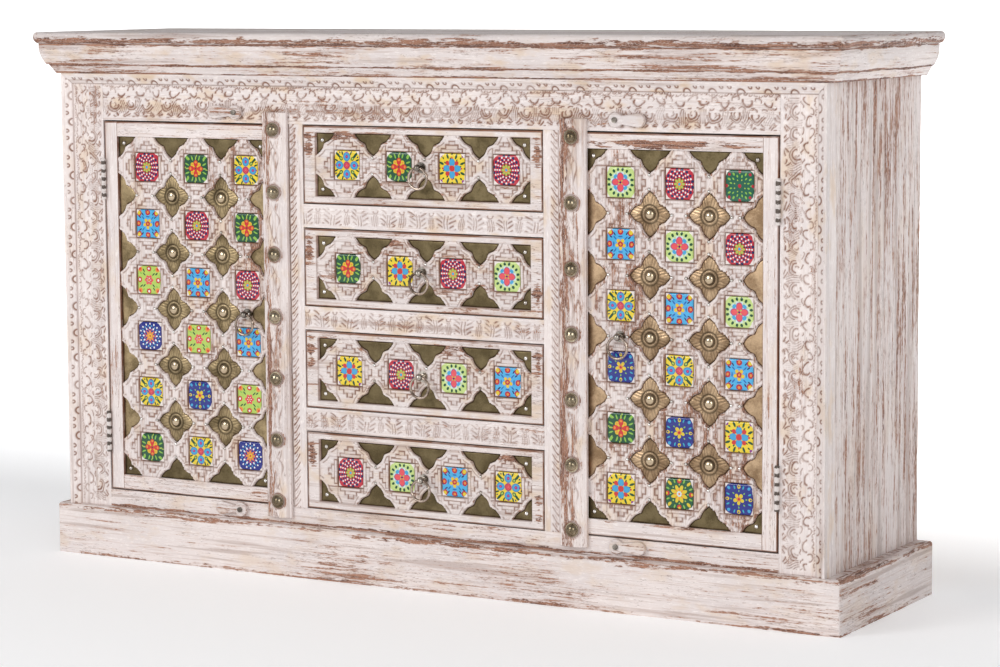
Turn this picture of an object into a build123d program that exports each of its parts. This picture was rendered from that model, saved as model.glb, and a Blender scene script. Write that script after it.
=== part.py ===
"""Carved sideboard cabinet: two tiled doors, four tiled drawers, moulded cornice and plinth.

Frame: millimetres, +Z up, +X to the right as seen from the front, the front faces -Y.
The origin lies on the floor, under the middle of the top board.
"""
from build123d import *
import os
from math import acos, asin, degrees, hypot, sqrt

os.makedirs("parts", exist_ok=True)

# ---------------------------------------------------------------- carcass and top board
carcass_width = 1444.0        # over the outer faces of the side panels
carcass_depth = 360.0         # front of the face frame to the back edge
cabinet_height = 914.0
top_overhang = 40.0           # top board beyond the side panels and the face frame
top_thickness = 20.0
nose_top_radius = 7.0
nose_bottom_radius = 11.0
nose_corner_radius = 8.0
side_thickness = 22.0
floor_thickness = 18.0
partition_thickness = 18.0
partition_setback = 1.0       # partition inside the edge of the inner stile
shelf_thickness = 18.0
shelf_height = 430.0          # underside of the shelves above the floor
shelf_setback = 30.0          # shelf front behind the face frame
back_thickness = 10.0

# ---------------------------------------------------------------- cornice moulding
moulding_top_setback = 9.0    # moulding behind the nose of the top board
moulding_waist_setback = 18.0
moulding_upper_height = 35.0
moulding_bulge = 3.2          # how far the upper part swells in front of its chord
moulding_step = 2.5           # shadow step between the upper and lower parts
moulding_lower_height = 16.0
moulding_foot_setback = 30.0

# ---------------------------------------------------------------- plinth
plinth_height = 88.0
plinth_thickness = 27.0
plinth_reveal = 13.0          # plinth in front of the face frame
plinth_edge_radius = 5.0
plinth_back_thickness = 22.0

# ---------------------------------------------------------------- face frame
frame_thickness = 25.0
outer_stile_width = 81.5
inner_stile_width = 33.5
drawer_opening_width = 457.0
bottom_rail_height = 30.0
top_rail_showing = 80.0       # top rail below the cornice
drawer_rail_height = 39.0
strip_width = 18.0
strip_outer_height = 11.0     # proud of the face frame at its outer edge
strip_inner_height = 2.5
strip_land = 2.5              # flat on the outer edge of the strip

# ---------------------------------------------------------------- doors
door_thickness = 25.0
door_hinge_gap = 3.0
door_gap = 2.5
door_hinge_stile_width = 25.5
door_free_stile_width = 40.5
door_rail_height = 25.0
panel_thickness = 14.0
panel_sinking = 2.0           # lattice surface behind the door's face
door_tile_columns = 3
door_tile_rows = 6
door_margin_left = 60.0       # outer tile columns inside the edges of the lattice
door_margin_right = 41.0
door_margin_ends = 52.0       # outer tile rows inside the ends of the lattice

# ---------------------------------------------------------------- battens on the doors
batten_width = 48.0
batten_reach = 19.0           # batten above and below the opening
left_batten_cover = 5.0       # batten over the inner stile
right_batten_cover = 1.5
batten_base = 6.0
batten_lift = 0.4             # running gap between batten and face frame
batten_bead_width = 42.0
batten_bead_height = 5.0
stud_count = 7
stud_from_batten_end = 28.3
stud_radius = 11.5
stud_collar = 1.6
stud_dome_radius = 9.5
stud_dome_height = 6.5
stud_boss_radius = 17.0

# ---------------------------------------------------------------- drawers
drawer_count = 4
drawer_gap = 1.75
drawer_front_thickness = 22.0
drawer_side_thickness = 12.0
drawer_bottom_thickness = 6.0
drawer_box_depth = 300.0
drawer_box_headroom = 32.0    # opening height above and below the box
drawer_box_inset = 3.5        # box side inside the edge of the opening
drawer_box_raise = 10.0       # box above the lower edge of the drawer front
drawer_side_gap = 2.0         # box side to its guide
drawer_border_x = 23.0
drawer_border_z = 12.0
drawer_tile_columns = 4
drawer_margin_left = 60.0
drawer_margin_right = 44.5
runner_width = 34.0
guide_height = 22.0
running_gap = 0.3

# ---------------------------------------------------------------- tiles and brass plates
tile_size = 48.0
tile_thickness = 5.0
tile_pocket_depth = 6.0
tile_clearance = 0.5          # around each tile in its pocket
recess_depth = 5.0
petal_length = 35.0
petal_half_width = 17.5
plate_thickness = 1.5
plate_clearance = 0.3
boss_radius = 12.5
boss_collar = 1.5
boss_dome_radius = 8.5
boss_dome_height = 4.5

# ---------------------------------------------------------------- hinges
hinge_length = 70.0
hinge_from_door_end = 99.5    # to the middle of the hinge
knuckle_count = 5
knuckle_radius = 4.0
knuckle_gap = 0.4
leaf_thickness = 1.2
knuckle_tab_clearance = 0.6   # tab to the pin bore
tab_overlap = 1.0             # tab runs into its leaf
leaf_depth = 22.0
hinge_pin_radius = 1.8
hinge_pin_clearance = 0.3
pin_seat_clearance = 0.1
pin_head_radius = 3.2
pin_head_height = 1.5

# ---------------------------------------------------------------- ring pulls
ring_radius = 17.2            # to the middle of the wire
ring_wire_radius = 2.2
ring_standoff = 9.0           # ring plane in front of the face
pull_ball_radius = 6.0
pull_eye_clearance = 1.0
pull_stem_radius = 3.5
pull_rose_radius = 9.0
pull_rose_thickness = 1.6

# ---------------------------------------------------------------- turn buttons
button_eye_radius = 12.0
button_neck_place = 14.0      # from the pivot
button_neck_radius = 7.0
button_tip_place = 40.0
button_tip_radius = 11.0
button_waist_radius = 6.0
button_thickness = 8.0
button_edge_radius = 2.0
button_lift = 0.4
button_from_stile = 99.0      # pivot to the edge of the inner stile
button_pivot_from_opening = 18.0
button_bottom_pivot_from_opening = 12.5
screw_radius = 2.0
screw_clearance = 0.4
screw_head_radius = 4.5
screw_head_height = 2.4
screw_depth = 18.0
screw_pilot_clearance = 0.1

# ---------------------------------------------------------------- planes worked out from the sizes
side_x = carcass_width / 2
inside_x = side_x - side_thickness
back_y = (carcass_depth + top_overhang) / 2
face_y = back_y - carcass_depth
frame_back_y = face_y + frame_thickness
panel_back_y = back_y - back_thickness
top_z = cabinet_height - top_thickness
moulding_foot_z = top_z - moulding_upper_height - moulding_lower_height
opening_bottom = plinth_height + bottom_rail_height
opening_top = moulding_foot_z - top_rail_showing
opening_height = opening_top - opening_bottom
opening_middle_z = (opening_bottom + opening_top) / 2
stile_inner_x = side_x - outer_stile_width
drawer_half = drawer_opening_width / 2
inner_stile_x = drawer_half + inner_stile_width
drawer_opening_height = (opening_height - (drawer_count - 1) * drawer_rail_height) / drawer_count
drawer_pitch = drawer_opening_height + drawer_rail_height
partition_outer_x = inner_stile_x - partition_setback
partition_inner_x = partition_outer_x - partition_thickness
door_hinge_x = stile_inner_x - door_hinge_gap
door_free_x = inner_stile_x + door_gap
door_bottom = opening_bottom + door_gap
door_top = opening_top - door_gap
hinge_axis_x = stile_inner_x - door_hinge_gap / 2
hinge_axis_y = face_y - knuckle_radius - running_gap
batten_height = opening_height + 2 * batten_reach


def block(x, y, z):
    """Box between pairs of coordinates given in any order."""
    size = [abs(pair[1] - pair[0]) for pair in (x, y, z)]
    middle = [(pair[0] + pair[1]) / 2 for pair in (x, y, z)]
    return Pos(*middle) * Box(*size)


def front_plane(y):
    """Upright plane facing the front: local x is X, local y is Z, and it extrudes towards -Y."""
    return Plane(origin=(0, y, 0), x_dir=(1, 0, 0), z_dir=(0, -1, 0))


def spread(count, pitch, middle=0.0):
    """Evenly spaced places around a middle."""
    return [middle + (i - (count - 1) / 2) * pitch for i in range(count)]


def between(count, low, high):
    """Evenly spaced places from low to high; one alone stands in the middle."""
    return spread(count, (high - low) / max(count - 1, 1), (low + high) / 2)


def save(name, shapes):
    """Write the solids of one node to its STEP file."""
    solids = [solid for shape in shapes for solid in shape.solids()]
    whole = solids[0] if len(solids) == 1 else Compound(children=solids)
    whole.label = name
    export_step(whole, f"parts/{name}.step")


# ================================================================ carcass
def free_rim(board, level):
    """Edges of the top (-1) or bottom (0) face of a board, all but the one along the back."""
    return board.faces().sort_by(Axis.Z)[level].edges().sort_by(Axis.Y)[:-1]


def top_board():
    """Slab with a rounded nose at the front and both ends, and a square back."""
    half = side_x + top_overhang
    slab = block((-half, half), (face_y - top_overhang, back_y), (top_z, cabinet_height))
    corners = slab.edges().filter_by(Axis.Z).sort_by(Axis.Y)[:2]
    slab = fillet(corners, nose_corner_radius)
    slab = fillet(free_rim(slab, -1), nose_top_radius)
    return fillet(free_rim(slab, 0), nose_bottom_radius)


def corner_zone(inner_x, inner_y, reach, part):
    """Plan of one mitred member of a three-sided frame round the front and both ends."""
    front = inner_y - reach
    side = inner_x + reach
    if part == "front":
        points = [(-inner_x, inner_y), (inner_x, inner_y), (side, front), (-side, front)]
    else:
        points = [(inner_x, inner_y), (side, front), (side, back_y), (inner_x, back_y)]
    plan = make_face(Polyline(*points, close=True))
    return extrude(plan, cabinet_height)


def moulding_profile():
    """Cornice section: distance out from the carcass against height."""
    top_out = top_overhang - moulding_top_setback
    waist_out = top_overhang - moulding_waist_setback
    foot_out = top_overhang - moulding_foot_setback
    waist_z = top_z - moulding_upper_height
    bulge = ((top_out + waist_out) / 2 + moulding_bulge, (top_z + waist_z) / 2)
    outline = ThreePointArc((top_out, top_z), bulge, (waist_out, waist_z)) + Polyline(
        (waist_out, waist_z), (waist_out - moulding_step, waist_z), (foot_out, moulding_foot_z),
        (0, moulding_foot_z), (0, top_z), (top_out, top_z))
    return make_face(outline)


def cornice_piece(part):
    """One mitred length of the cornice moulding."""
    section = moulding_profile()
    zone = corner_zone(side_x, face_y, top_overhang, part)
    if part == "front":
        plane = Plane(origin=(side_x + top_overhang, face_y, 0), x_dir=(0, -1, 0), z_dir=(-1, 0, 0))
        length = 2 * (side_x + top_overhang)
    else:
        plane = Plane(origin=(side_x, back_y, 0), x_dir=(1, 0, 0), z_dir=(0, -1, 0))
        length = carcass_depth + top_overhang
    return extrude(plane * section, length) & zone


def plinth_boards():
    """Mitred front and end boards, rounded along the top and the two front corners."""
    front_y = face_y - plinth_reveal
    inner_y = front_y + plinth_thickness
    outer_x = side_x + plinth_thickness
    ring = block((-outer_x, outer_x), (front_y, back_y), (0, plinth_height))
    ring = fillet(ring.edges().filter_by(Axis.Z).sort_by(Axis.Y)[:2], plinth_edge_radius)
    ring = fillet(free_rim(ring, -1), plinth_edge_radius)
    front = ring & corner_zone(side_x, inner_y, plinth_thickness, "front")
    right = ring & corner_zone(side_x, inner_y, plinth_thickness, "side")
    left = mirror(right, about=Plane.YZ)
    back = block((-inside_x, inside_x), (back_y - plinth_back_thickness, back_y), (0, plinth_height))
    return front, [left, right, back]


def border_strips():
    """Bevelled strips round the outside of the face frame, mitred at the top corners."""
    strip_top = moulding_foot_z
    width = strip_width
    section = make_face(Polyline(
        (0, 0), (0, strip_outer_height), (strip_land, strip_outer_height),
        (width, strip_inner_height), (width, 0), close=True))
    upright_plane = Plane(origin=(side_x, face_y, plinth_height), x_dir=(-1, 0, 0), z_dir=(0, 0, 1))
    upright = extrude(upright_plane * section, strip_top - plinth_height)
    mitre = [(side_x, strip_top), (side_x - width, strip_top - width), (side_x - width, strip_top)]
    corner = extrude(front_plane(face_y) * make_face(Polyline(*mitre, close=True)), strip_outer_height)
    right = upright - corner
    level_plane = Plane(origin=(side_x, face_y, strip_top), x_dir=(0, 0, -1), z_dir=(-1, 0, 0))
    level = extrude(level_plane * section, 2 * side_x)
    plan = [(-side_x, strip_top), (side_x, strip_top), (side_x - width, strip_top - width),
            (width - side_x, strip_top - width)]
    mitres = extrude(front_plane(face_y) * make_face(Polyline(*plan, close=True)), strip_outer_height)
    return [mirror(right, about=Plane.YZ), level & mitres, right]


def screw_pilots():
    """Holes in the rails for the pivot screws of the turn buttons."""
    radius = screw_radius + screw_pilot_clearance
    return [front_plane(face_y + screw_depth) * Pos(x, z) * extrude(Circle(radius), screw_depth)
            for x, z in button_pivots().values()]


def save_carcass():
    frame_y = (face_y, frame_back_y)
    save("top_board", [top_board()])
    save("cornice_front", [cornice_piece("front")])
    right_cornice = cornice_piece("side")
    save("cornice_sides", [mirror(right_cornice, about=Plane.YZ), right_cornice])
    for name, side in (("left", -1), ("right", 1)):
        panel = block((side * inside_x, side * side_x), (frame_back_y, back_y), (0, top_z))
        save(f"side_panel_{name}", [panel])
    save("back_panel", [block((-inside_x, inside_x), (panel_back_y, back_y), (plinth_height, top_z))])
    floor_z = (opening_bottom - floor_thickness, opening_bottom)
    save("bottom_board", [block((-inside_x, inside_x), (frame_back_y, panel_back_y), floor_z)])
    save("partitions", [block((side * partition_inner_x, side * partition_outer_x),
                              (frame_back_y, panel_back_y), (opening_bottom, top_z)) for side in (-1, 1)])
    shelf_z = (shelf_height, shelf_height + shelf_thickness)
    save("shelves", [block((side * partition_outer_x, side * inside_x),
                           (frame_back_y + shelf_setback, panel_back_y), shelf_z) for side in (-1, 1)])
    save("outer_stiles", [block((side * stile_inner_x, side * side_x), frame_y, (plinth_height, top_z))
                          for side in (-1, 1)])
    pilots = screw_pilots()
    save("top_rail", [block((-stile_inner_x, stile_inner_x), frame_y, (opening_top, top_z)) - pilots])
    save("bottom_rail", [block((-stile_inner_x, stile_inner_x), frame_y, (plinth_height, opening_bottom))
                         - pilots])
    save("inner_stiles", [block((side * drawer_half, side * inner_stile_x), frame_y,
                                (opening_bottom, opening_top)) for side in (-1, 1)])
    rails = []
    for z in spread(drawer_count - 1, drawer_pitch, opening_middle_z):
        rails.append(block((-drawer_half, drawer_half), frame_y,
                           (z - drawer_rail_height / 2, z + drawer_rail_height / 2)))
    save("drawer_rails", rails)
    save("border_strips", border_strips())
    plinth_front, plinth_others = plinth_boards()
    save("plinth_front", [plinth_front])
    save("plinth_ends_and_back", plinth_others)
    save("drawer_runners", drawer_runners())
    save("frame_hinge_leaves", [piece for side in (-1, 1) for piece in frame_hinge_leaves(side)])
    save("turn_button_screws", turn_button_screws())


# ================================================================ tiled fields
class Field:
    """Rectangle of carved lattice with a grid of tiles and brass plates between them."""

    def __init__(self, x, z, columns, rows, margin_left, margin_right, margin_ends):
        self.x, self.z = sorted(x), sorted(z)
        self.surface_y = face_y + panel_sinking
        tile_columns = between(columns, self.x[0] + margin_left, self.x[1] - margin_right)
        tile_rows = between(rows, self.z[0] + margin_ends, self.z[1] - margin_ends)
        self.tiles = [(tile_x, tile_z) for tile_z in tile_rows for tile_x in tile_columns]
        self.plate_columns = [self.x[0]] + self.middles(tile_columns) + [self.x[1]]
        self.plate_rows = [self.z[0]] + self.middles(tile_rows) + [self.z[1]]

    def middles(self, places):
        """Halfway places between neighbours."""
        return [(a + b) / 2 for a, b in zip(places, places[1:])]

    def plates(self):
        """Middle of each plate, and whether the plate is whole."""
        for i, x in enumerate(self.plate_columns):
            for j, z in enumerate(self.plate_rows):
                whole = 0 < i < len(self.plate_columns) - 1 and 0 < j < len(self.plate_rows) - 1
                yield x, z, whole

    def window(self, low_y, high_y, inset=0.0):
        """Everything in front of the field, as a block that trims what runs past its edges."""
        x = (self.x[0] + inset, self.x[1] - inset)
        z = (self.z[0] + inset, self.z[1] - inset)
        return block(x, (low_y, high_y), z)


def lattice_cuts(field):
    """Square pockets for the tiles and diamond recesses for the plates."""
    half = hypot(petal_length, petal_half_width) + 2 * plate_clearance
    pocket_y = field.surface_y + tile_pocket_depth
    pocket = Rectangle(tile_size + 2 * tile_clearance, tile_size + 2 * tile_clearance)
    pockets = [extrude(front_plane(pocket_y) * Pos(x, z) * pocket, tile_pocket_depth)
               for x, z in field.tiles]
    diamond = make_face(Polyline((half, 0), (0, half), (-half, 0), (0, -half), close=True))
    window = field.window(field.surface_y, field.surface_y + recess_depth)
    recesses = []
    for x, z, _ in field.plates():
        cut = extrude(front_plane(field.surface_y + recess_depth) * Pos(x, z) * diamond, recess_depth)
        recesses += (cut & window).solids()
    return pockets + recesses


def tiles(field):
    """Square glazed tiles bedded in their pockets."""
    seat_y = field.surface_y + tile_pocket_depth
    tile = Rectangle(tile_size, tile_size)
    return [extrude(front_plane(seat_y) * Pos(x, z) * tile, tile_thickness) for x, z in field.tiles]


def dome(radius, collar, dome_radius, dome_height):
    """Round stud: a flat collar and a spherical cap, its axis along +Z and its foot at 0."""
    ball = (dome_radius ** 2 + dome_height ** 2) / (2 * dome_height)
    half_angle = degrees(asin(dome_radius / ball))
    cap = CenterArc((0, collar + dome_height - ball), ball, 90 - half_angle, half_angle)
    foot = Polyline((0, collar + dome_height), (0, 0), (radius, 0), (radius, collar), (dome_radius, collar))
    return revolve(Plane.XZ * make_face(foot + cap), Axis.Z)


def brass_plates(field):
    """Four-petal plates on the recess floors, cut off where they meet the edge of the field."""
    seat_y = field.surface_y + recess_depth
    petals = Ellipse(petal_length, petal_half_width) + Ellipse(petal_half_width, petal_length)
    window = field.window(seat_y - recess_depth, seat_y, plate_clearance)
    boss = dome(boss_radius, boss_collar, boss_dome_radius, boss_dome_height)
    plates = []
    for x, z, whole in field.plates():
        plate = extrude(front_plane(seat_y) * Pos(x, z) * petals, plate_thickness)
        if whole:
            plate += front_plane(seat_y - plate_thickness) * Pos(x, z) * boss
        else:
            plate = plate & window
        plates.append(plate)
    return plates


# ================================================================ hardware
def pull_post(x, z, base_y):
    """Rose, stem and drilled ball that carry a ring pull; the eye runs along X."""
    reach = base_y - (face_y - ring_standoff)
    neck_angle = degrees(acos(pull_stem_radius / pull_ball_radius))
    neck = reach - sqrt(pull_ball_radius ** 2 - pull_stem_radius ** 2)
    outline = Polyline((0, reach + pull_ball_radius), (0, 0), (pull_rose_radius, 0),
                       (pull_rose_radius, pull_rose_thickness), (pull_stem_radius, pull_rose_thickness),
                       (pull_stem_radius, neck))
    outline += CenterArc((0, reach), pull_ball_radius, -neck_angle, 90 + neck_angle)
    post = revolve(Plane.YZ * make_face(outline), Axis.Z)
    eye_radius = ring_wire_radius + pull_eye_clearance
    post -= Pos(0, 0, reach) * Rot(0, 90, 0) * Cylinder(eye_radius, 4 * pull_ball_radius)
    return front_plane(base_y) * Pos(x, z) * post


def ring_pull(x, z):
    """Ring that hangs in the eye of its post."""
    ring_y = face_y - ring_standoff
    return Pos(x, ring_y, z - ring_radius) * Rot(90, 0, 0) * Torus(ring_radius, ring_wire_radius)


def knuckles(side, middle_z, own):
    """Barrel lengths of one leaf; own picks the frame's (0) or the door's (1) knuckles."""
    length = hinge_length / knuckle_count
    bore = hinge_pin_radius + (hinge_pin_clearance if own else pin_seat_clearance)
    barrel = None
    for i, z in enumerate(spread(knuckle_count, length, middle_z)):
        if i % 2 != own:
            continue
        place = Pos(side * hinge_axis_x, hinge_axis_y, z)
        ring = place * (Cylinder(knuckle_radius, length - knuckle_gap) - Cylinder(bore, length))
        wall = side * (hinge_axis_x + (door_hinge_gap / 2) * (-1 if own else 1))
        inner = wall - side * leaf_thickness * (-1 if own else 1)
        tab = block((wall, inner), (hinge_axis_y + bore + knuckle_tab_clearance, face_y + tab_overlap),
                    (z - length / 2 + knuckle_gap / 2, z + length / 2 - knuckle_gap / 2))
        barrel = ring + tab if barrel is None else barrel + ring + tab
    leaf = block((wall, inner), (face_y, face_y + leaf_depth),
                 (middle_z - hinge_length / 2, middle_z + hinge_length / 2))
    return barrel + leaf


def hinge_middles():
    return door_bottom + hinge_from_door_end, door_top - hinge_from_door_end


def frame_hinge_leaves(side):
    """Leaves screwed to the outer stile, each with its loose pin."""
    pieces = []
    for middle_z in hinge_middles():
        pieces.append(knuckles(side, middle_z, 0))
        top = middle_z + hinge_length / 2
        shaft = Pos(side * hinge_axis_x, hinge_axis_y, middle_z) * Cylinder(hinge_pin_radius, hinge_length)
        head = Pos(side * hinge_axis_x, hinge_axis_y, top + pin_head_height / 2)
        pieces.append(shaft + head * Cylinder(pin_head_radius, pin_head_height))
    return pieces


def door_hinge_leaves(side):
    """Leaves screwed to the door's edge."""
    return [knuckles(side, middle_z, 1) for middle_z in hinge_middles()]


def button_pivots():
    """Pivot of each turn button on the rails, by name."""
    x = inner_stile_x + button_from_stile
    high = opening_top + button_pivot_from_opening
    low = opening_bottom - button_bottom_pivot_from_opening
    return {"left_top": (-x, high), "left_bottom": (-x, low),
            "right_top": (x, high), "right_bottom": (x, low)}


def turn_button(x, z):
    """Wooden button, turned aside so that its arm lies along the rail, away from the middle."""
    side = 1 if x > 0 else -1
    neck = Pos(side * button_neck_place, 0) * Circle(button_neck_radius)
    tip = Pos(side * button_tip_place, 0) * Circle(button_tip_radius)
    hole_radius = screw_radius + screw_clearance
    outline = Circle(button_eye_radius) + make_hull(neck.edges() + tip.edges()) - Circle(hole_radius)
    body = extrude(outline, button_thickness)
    corners = [edge for edge in body.edges().filter_by(Axis.Z) if side * edge.center().X > 0
               and abs(hypot(edge.center().X, edge.center().Y) - button_eye_radius) < screw_clearance]
    body = fillet(corners, button_waist_radius)
    rim = [edge for edge in body.faces().sort_by(Axis.Z)[-1].edges()
           if edge.geom_type != GeomType.CIRCLE or edge.radius > 2 * hole_radius]
    return front_plane(face_y - button_lift) * Pos(x, z) * fillet(rim, button_edge_radius)


def turn_button_screws():
    """Pivot screws: shank through the button into the rail, round head in front."""
    head_y = face_y - button_lift - button_thickness - running_gap
    screws = []
    for x, z in button_pivots().values():
        shank = extrude(front_plane(face_y + screw_depth) * Pos(x, z) * Circle(screw_radius),
                        face_y + screw_depth - head_y)
        head = extrude(front_plane(head_y) * Pos(x, z) * Circle(screw_head_radius), screw_head_height)
        screws.append(shank + head)
    return screws


# ================================================================ doors
def door_field(side):
    """Tiled field of the left (-1) or right (1) door."""
    x = (side * (door_hinge_x - door_hinge_stile_width), side * (door_free_x + door_free_stile_width))
    z = (door_bottom + door_rail_height, door_top - door_rail_height)
    return Field(x, z, door_tile_columns, door_tile_rows,
                 door_margin_left, door_margin_right, door_margin_ends)


def door_pull_place(side):
    """Ring pull between the two middle rows, on the tile column next to the batten."""
    field = door_field(side)
    x = min((tile[0] for tile in field.tiles), key=abs)
    return x, opening_middle_z


def batten_edges(side):
    """Inner and outer edge of the batten on the left (-1) or right (1) door."""
    inner = inner_stile_x - (left_batten_cover if side < 0 else right_batten_cover)
    return side * inner, side * (inner + batten_width)


def batten(side):
    """Cover strip on the free edge, with a rounded bead and a round boss under each stud."""
    low = opening_bottom - batten_reach
    x = batten_edges(side)
    under_y = face_y - batten_lift
    base_front = under_y - batten_base
    strip = block(x, (under_y, base_front), (low, low + batten_height))
    bead_x = sum(x) / 2
    bead = make_face(Line((-batten_bead_width / 2, 0), (batten_bead_width / 2, 0)) + ThreePointArc(
        (batten_bead_width / 2, 0), (0, -batten_bead_height), (-batten_bead_width / 2, 0)))
    strip += extrude(Plane(origin=(bead_x, base_front, low)) * bead, batten_height)
    for z in stud_heights():
        boss = front_plane(base_front) * Pos(bead_x, z) * Circle(stud_boss_radius)
        strip += extrude(boss, batten_bead_height)
    packing_x = (side * door_free_x, x[1])
    packing = block(packing_x, (face_y, under_y), (door_bottom, door_top))
    return strip + packing


def stud_heights():
    reach = batten_height / 2 - stud_from_batten_end
    return between(stud_count, opening_middle_z - reach, opening_middle_z + reach)


def door_studs(side):
    """Round-headed studs in a row along the batten."""
    middle_x = sum(batten_edges(side)) / 2
    seat_y = face_y - batten_lift - batten_base - batten_bead_height
    stud = dome(stud_radius, stud_collar, stud_dome_radius, stud_dome_height)
    return [front_plane(seat_y) * Pos(middle_x, z) * stud for z in stud_heights()]


def save_door(name, side):
    door_y = (face_y, face_y + door_thickness)
    field = door_field(side)
    hinge_stile_x = (side * door_hinge_x, side * (door_hinge_x - door_hinge_stile_width))
    free_stile_x = (side * door_free_x, side * (door_free_x + door_free_stile_width))
    frame = [block(x, door_y, (door_bottom, door_top)) for x in (hinge_stile_x, free_stile_x)]
    frame += [block(field.x, door_y, z) for z in
              ((door_bottom, door_bottom + door_rail_height), (door_top - door_rail_height, door_top))]
    save(f"{name}_door_frame", frame)
    board = block(field.x, (field.surface_y, field.surface_y + panel_thickness), field.z)
    save(f"{name}_door_panel", [board - lattice_cuts(field)])
    save(f"{name}_door_tiles", tiles(field))
    save(f"{name}_door_brass_plates", brass_plates(field))
    save(f"{name}_door_batten", [batten(side)])
    x, z = door_pull_place(side)
    save(f"{name}_door_studs_and_post", door_studs(side) + [pull_post(x, z, field.surface_y)])
    save(f"{name}_door_hinge_leaves", door_hinge_leaves(side))
    save(f"{name}_door_ring", [ring_pull(x, z)])


# ================================================================ drawers
def drawer_middles():
    """Height of the middle of each drawer, the top drawer first."""
    return spread(drawer_count, drawer_pitch, opening_middle_z)[::-1]


def drawer_runners():
    """Runner board under each drawer side, with a guide strip along the partition."""
    pieces = []
    for middle_z in drawer_middles():
        shelf_z = middle_z - drawer_opening_height / 2
        top = shelf_z + drawer_gap + drawer_box_raise - running_gap
        for side in (-1, 1):
            outer = side * partition_inner_x
            pieces.append(block((outer, outer - side * runner_width), (frame_back_y, panel_back_y),
                                (shelf_z, top)))
            guide_x = (outer, side * (drawer_box_half() + drawer_side_gap))
            pieces.append(block(guide_x, (frame_back_y, panel_back_y), (top, top + guide_height)))
    return pieces


def drawer_box_half():
    """Half the width over the drawer sides, just inside the opening."""
    return drawer_half - drawer_box_inset


def save_drawer(number, middle_z):
    half_width = drawer_half - drawer_gap
    half_height = drawer_opening_height / 2 - drawer_gap
    front_back_y = face_y + drawer_front_thickness
    front_z = (middle_z - half_height, middle_z + half_height)
    front = block((-half_width, half_width), (face_y, front_back_y), front_z)
    x = (drawer_border_x - half_width, half_width - drawer_border_x)
    z = (front_z[0] + drawer_border_z, front_z[1] - drawer_border_z)
    field = Field(x, z, drawer_tile_columns, 1, drawer_margin_left, drawer_margin_right, 0)
    sinking = field.window(face_y, face_y + panel_sinking)
    save(f"drawer_{number}_front", [front - sinking - lattice_cuts(field)])
    save(f"drawer_{number}_tiles", tiles(field))
    post = pull_post(0, middle_z, field.surface_y)
    save(f"drawer_{number}_brass_plates", brass_plates(field) + [post])
    save(f"drawer_{number}_ring", [ring_pull(0, middle_z)])
    half = drawer_box_half()
    inner = half - drawer_side_thickness
    box_y = (front_back_y, front_back_y + drawer_box_depth)
    low = middle_z - half_height + drawer_box_raise
    box_z = (low, low + drawer_opening_height - drawer_box_headroom)
    floor_z = (low + drawer_bottom_thickness, low + 2 * drawer_bottom_thickness)
    sides = [block((side * inner, side * half), box_y, box_z) for side in (-1, 1)]
    back = block((-inner, inner), (box_y[1] - drawer_side_thickness, box_y[1]), box_z)
    floor = block((-inner, inner), (box_y[0], box_y[1] - drawer_side_thickness), floor_z)
    save(f"drawer_{number}_box", sides + [back, floor])


save_carcass()
save_door("left", -1)
save_door("right", 1)
for drawer_number, drawer_middle in enumerate(drawer_middles(), start=1):
    save_drawer(drawer_number, drawer_middle)
for button_name, button_place in button_pivots().items():
    save(f"turn_button_{button_name}", [turn_button(*button_place)])
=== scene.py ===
import math

import bpy
import numpy as np
from mathutils import Matrix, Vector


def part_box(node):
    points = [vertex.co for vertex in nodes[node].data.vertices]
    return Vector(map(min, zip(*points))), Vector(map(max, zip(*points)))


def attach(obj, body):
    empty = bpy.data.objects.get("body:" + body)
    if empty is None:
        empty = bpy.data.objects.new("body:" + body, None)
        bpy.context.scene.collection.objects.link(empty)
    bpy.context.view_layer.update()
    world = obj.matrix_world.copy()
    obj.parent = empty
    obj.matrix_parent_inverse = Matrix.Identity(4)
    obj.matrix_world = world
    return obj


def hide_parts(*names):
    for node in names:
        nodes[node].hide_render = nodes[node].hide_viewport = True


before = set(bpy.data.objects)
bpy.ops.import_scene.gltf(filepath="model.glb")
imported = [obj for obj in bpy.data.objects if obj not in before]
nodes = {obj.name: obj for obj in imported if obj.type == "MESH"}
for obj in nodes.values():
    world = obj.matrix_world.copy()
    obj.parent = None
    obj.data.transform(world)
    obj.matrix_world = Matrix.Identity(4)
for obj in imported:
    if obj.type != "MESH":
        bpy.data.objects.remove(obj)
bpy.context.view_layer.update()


# ================================================================ camera, floor and light
# A long lens looks at the cabinet from right of its middle and a little above the top board.
# The floor is a plain pale sheet that sweeps up behind, lit by large soft lamps.

camera_place = (2.5556, -4.3290, 1.0032)
turn, tilt, roll = 0.5238, 0.1177, 0.0065
ahead = np.array([-math.sin(turn) * math.cos(tilt), math.cos(turn) * math.cos(tilt), -math.sin(tilt)])
level = np.array([math.cos(turn), math.sin(turn), 0.0])
down = np.cross(ahead, level)
rightward = level * math.cos(roll) + down * math.sin(roll)
upward = level * math.sin(roll) - down * math.cos(roll)
camera_data = bpy.data.cameras.new("camera")
camera_data.sensor_width = 36.0
camera_data.lens = 108.47
camera = bpy.data.objects.new("camera", camera_data)
placing = np.eye(4)
placing[:3] = np.stack([rightward, upward, -ahead, camera_place], axis=1)
camera.matrix_world = Matrix(placing.tolist())
bpy.context.collection.objects.link(camera)
bpy.context.scene.camera = camera
bpy.context.scene.view_settings.view_transform = "Standard"


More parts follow.
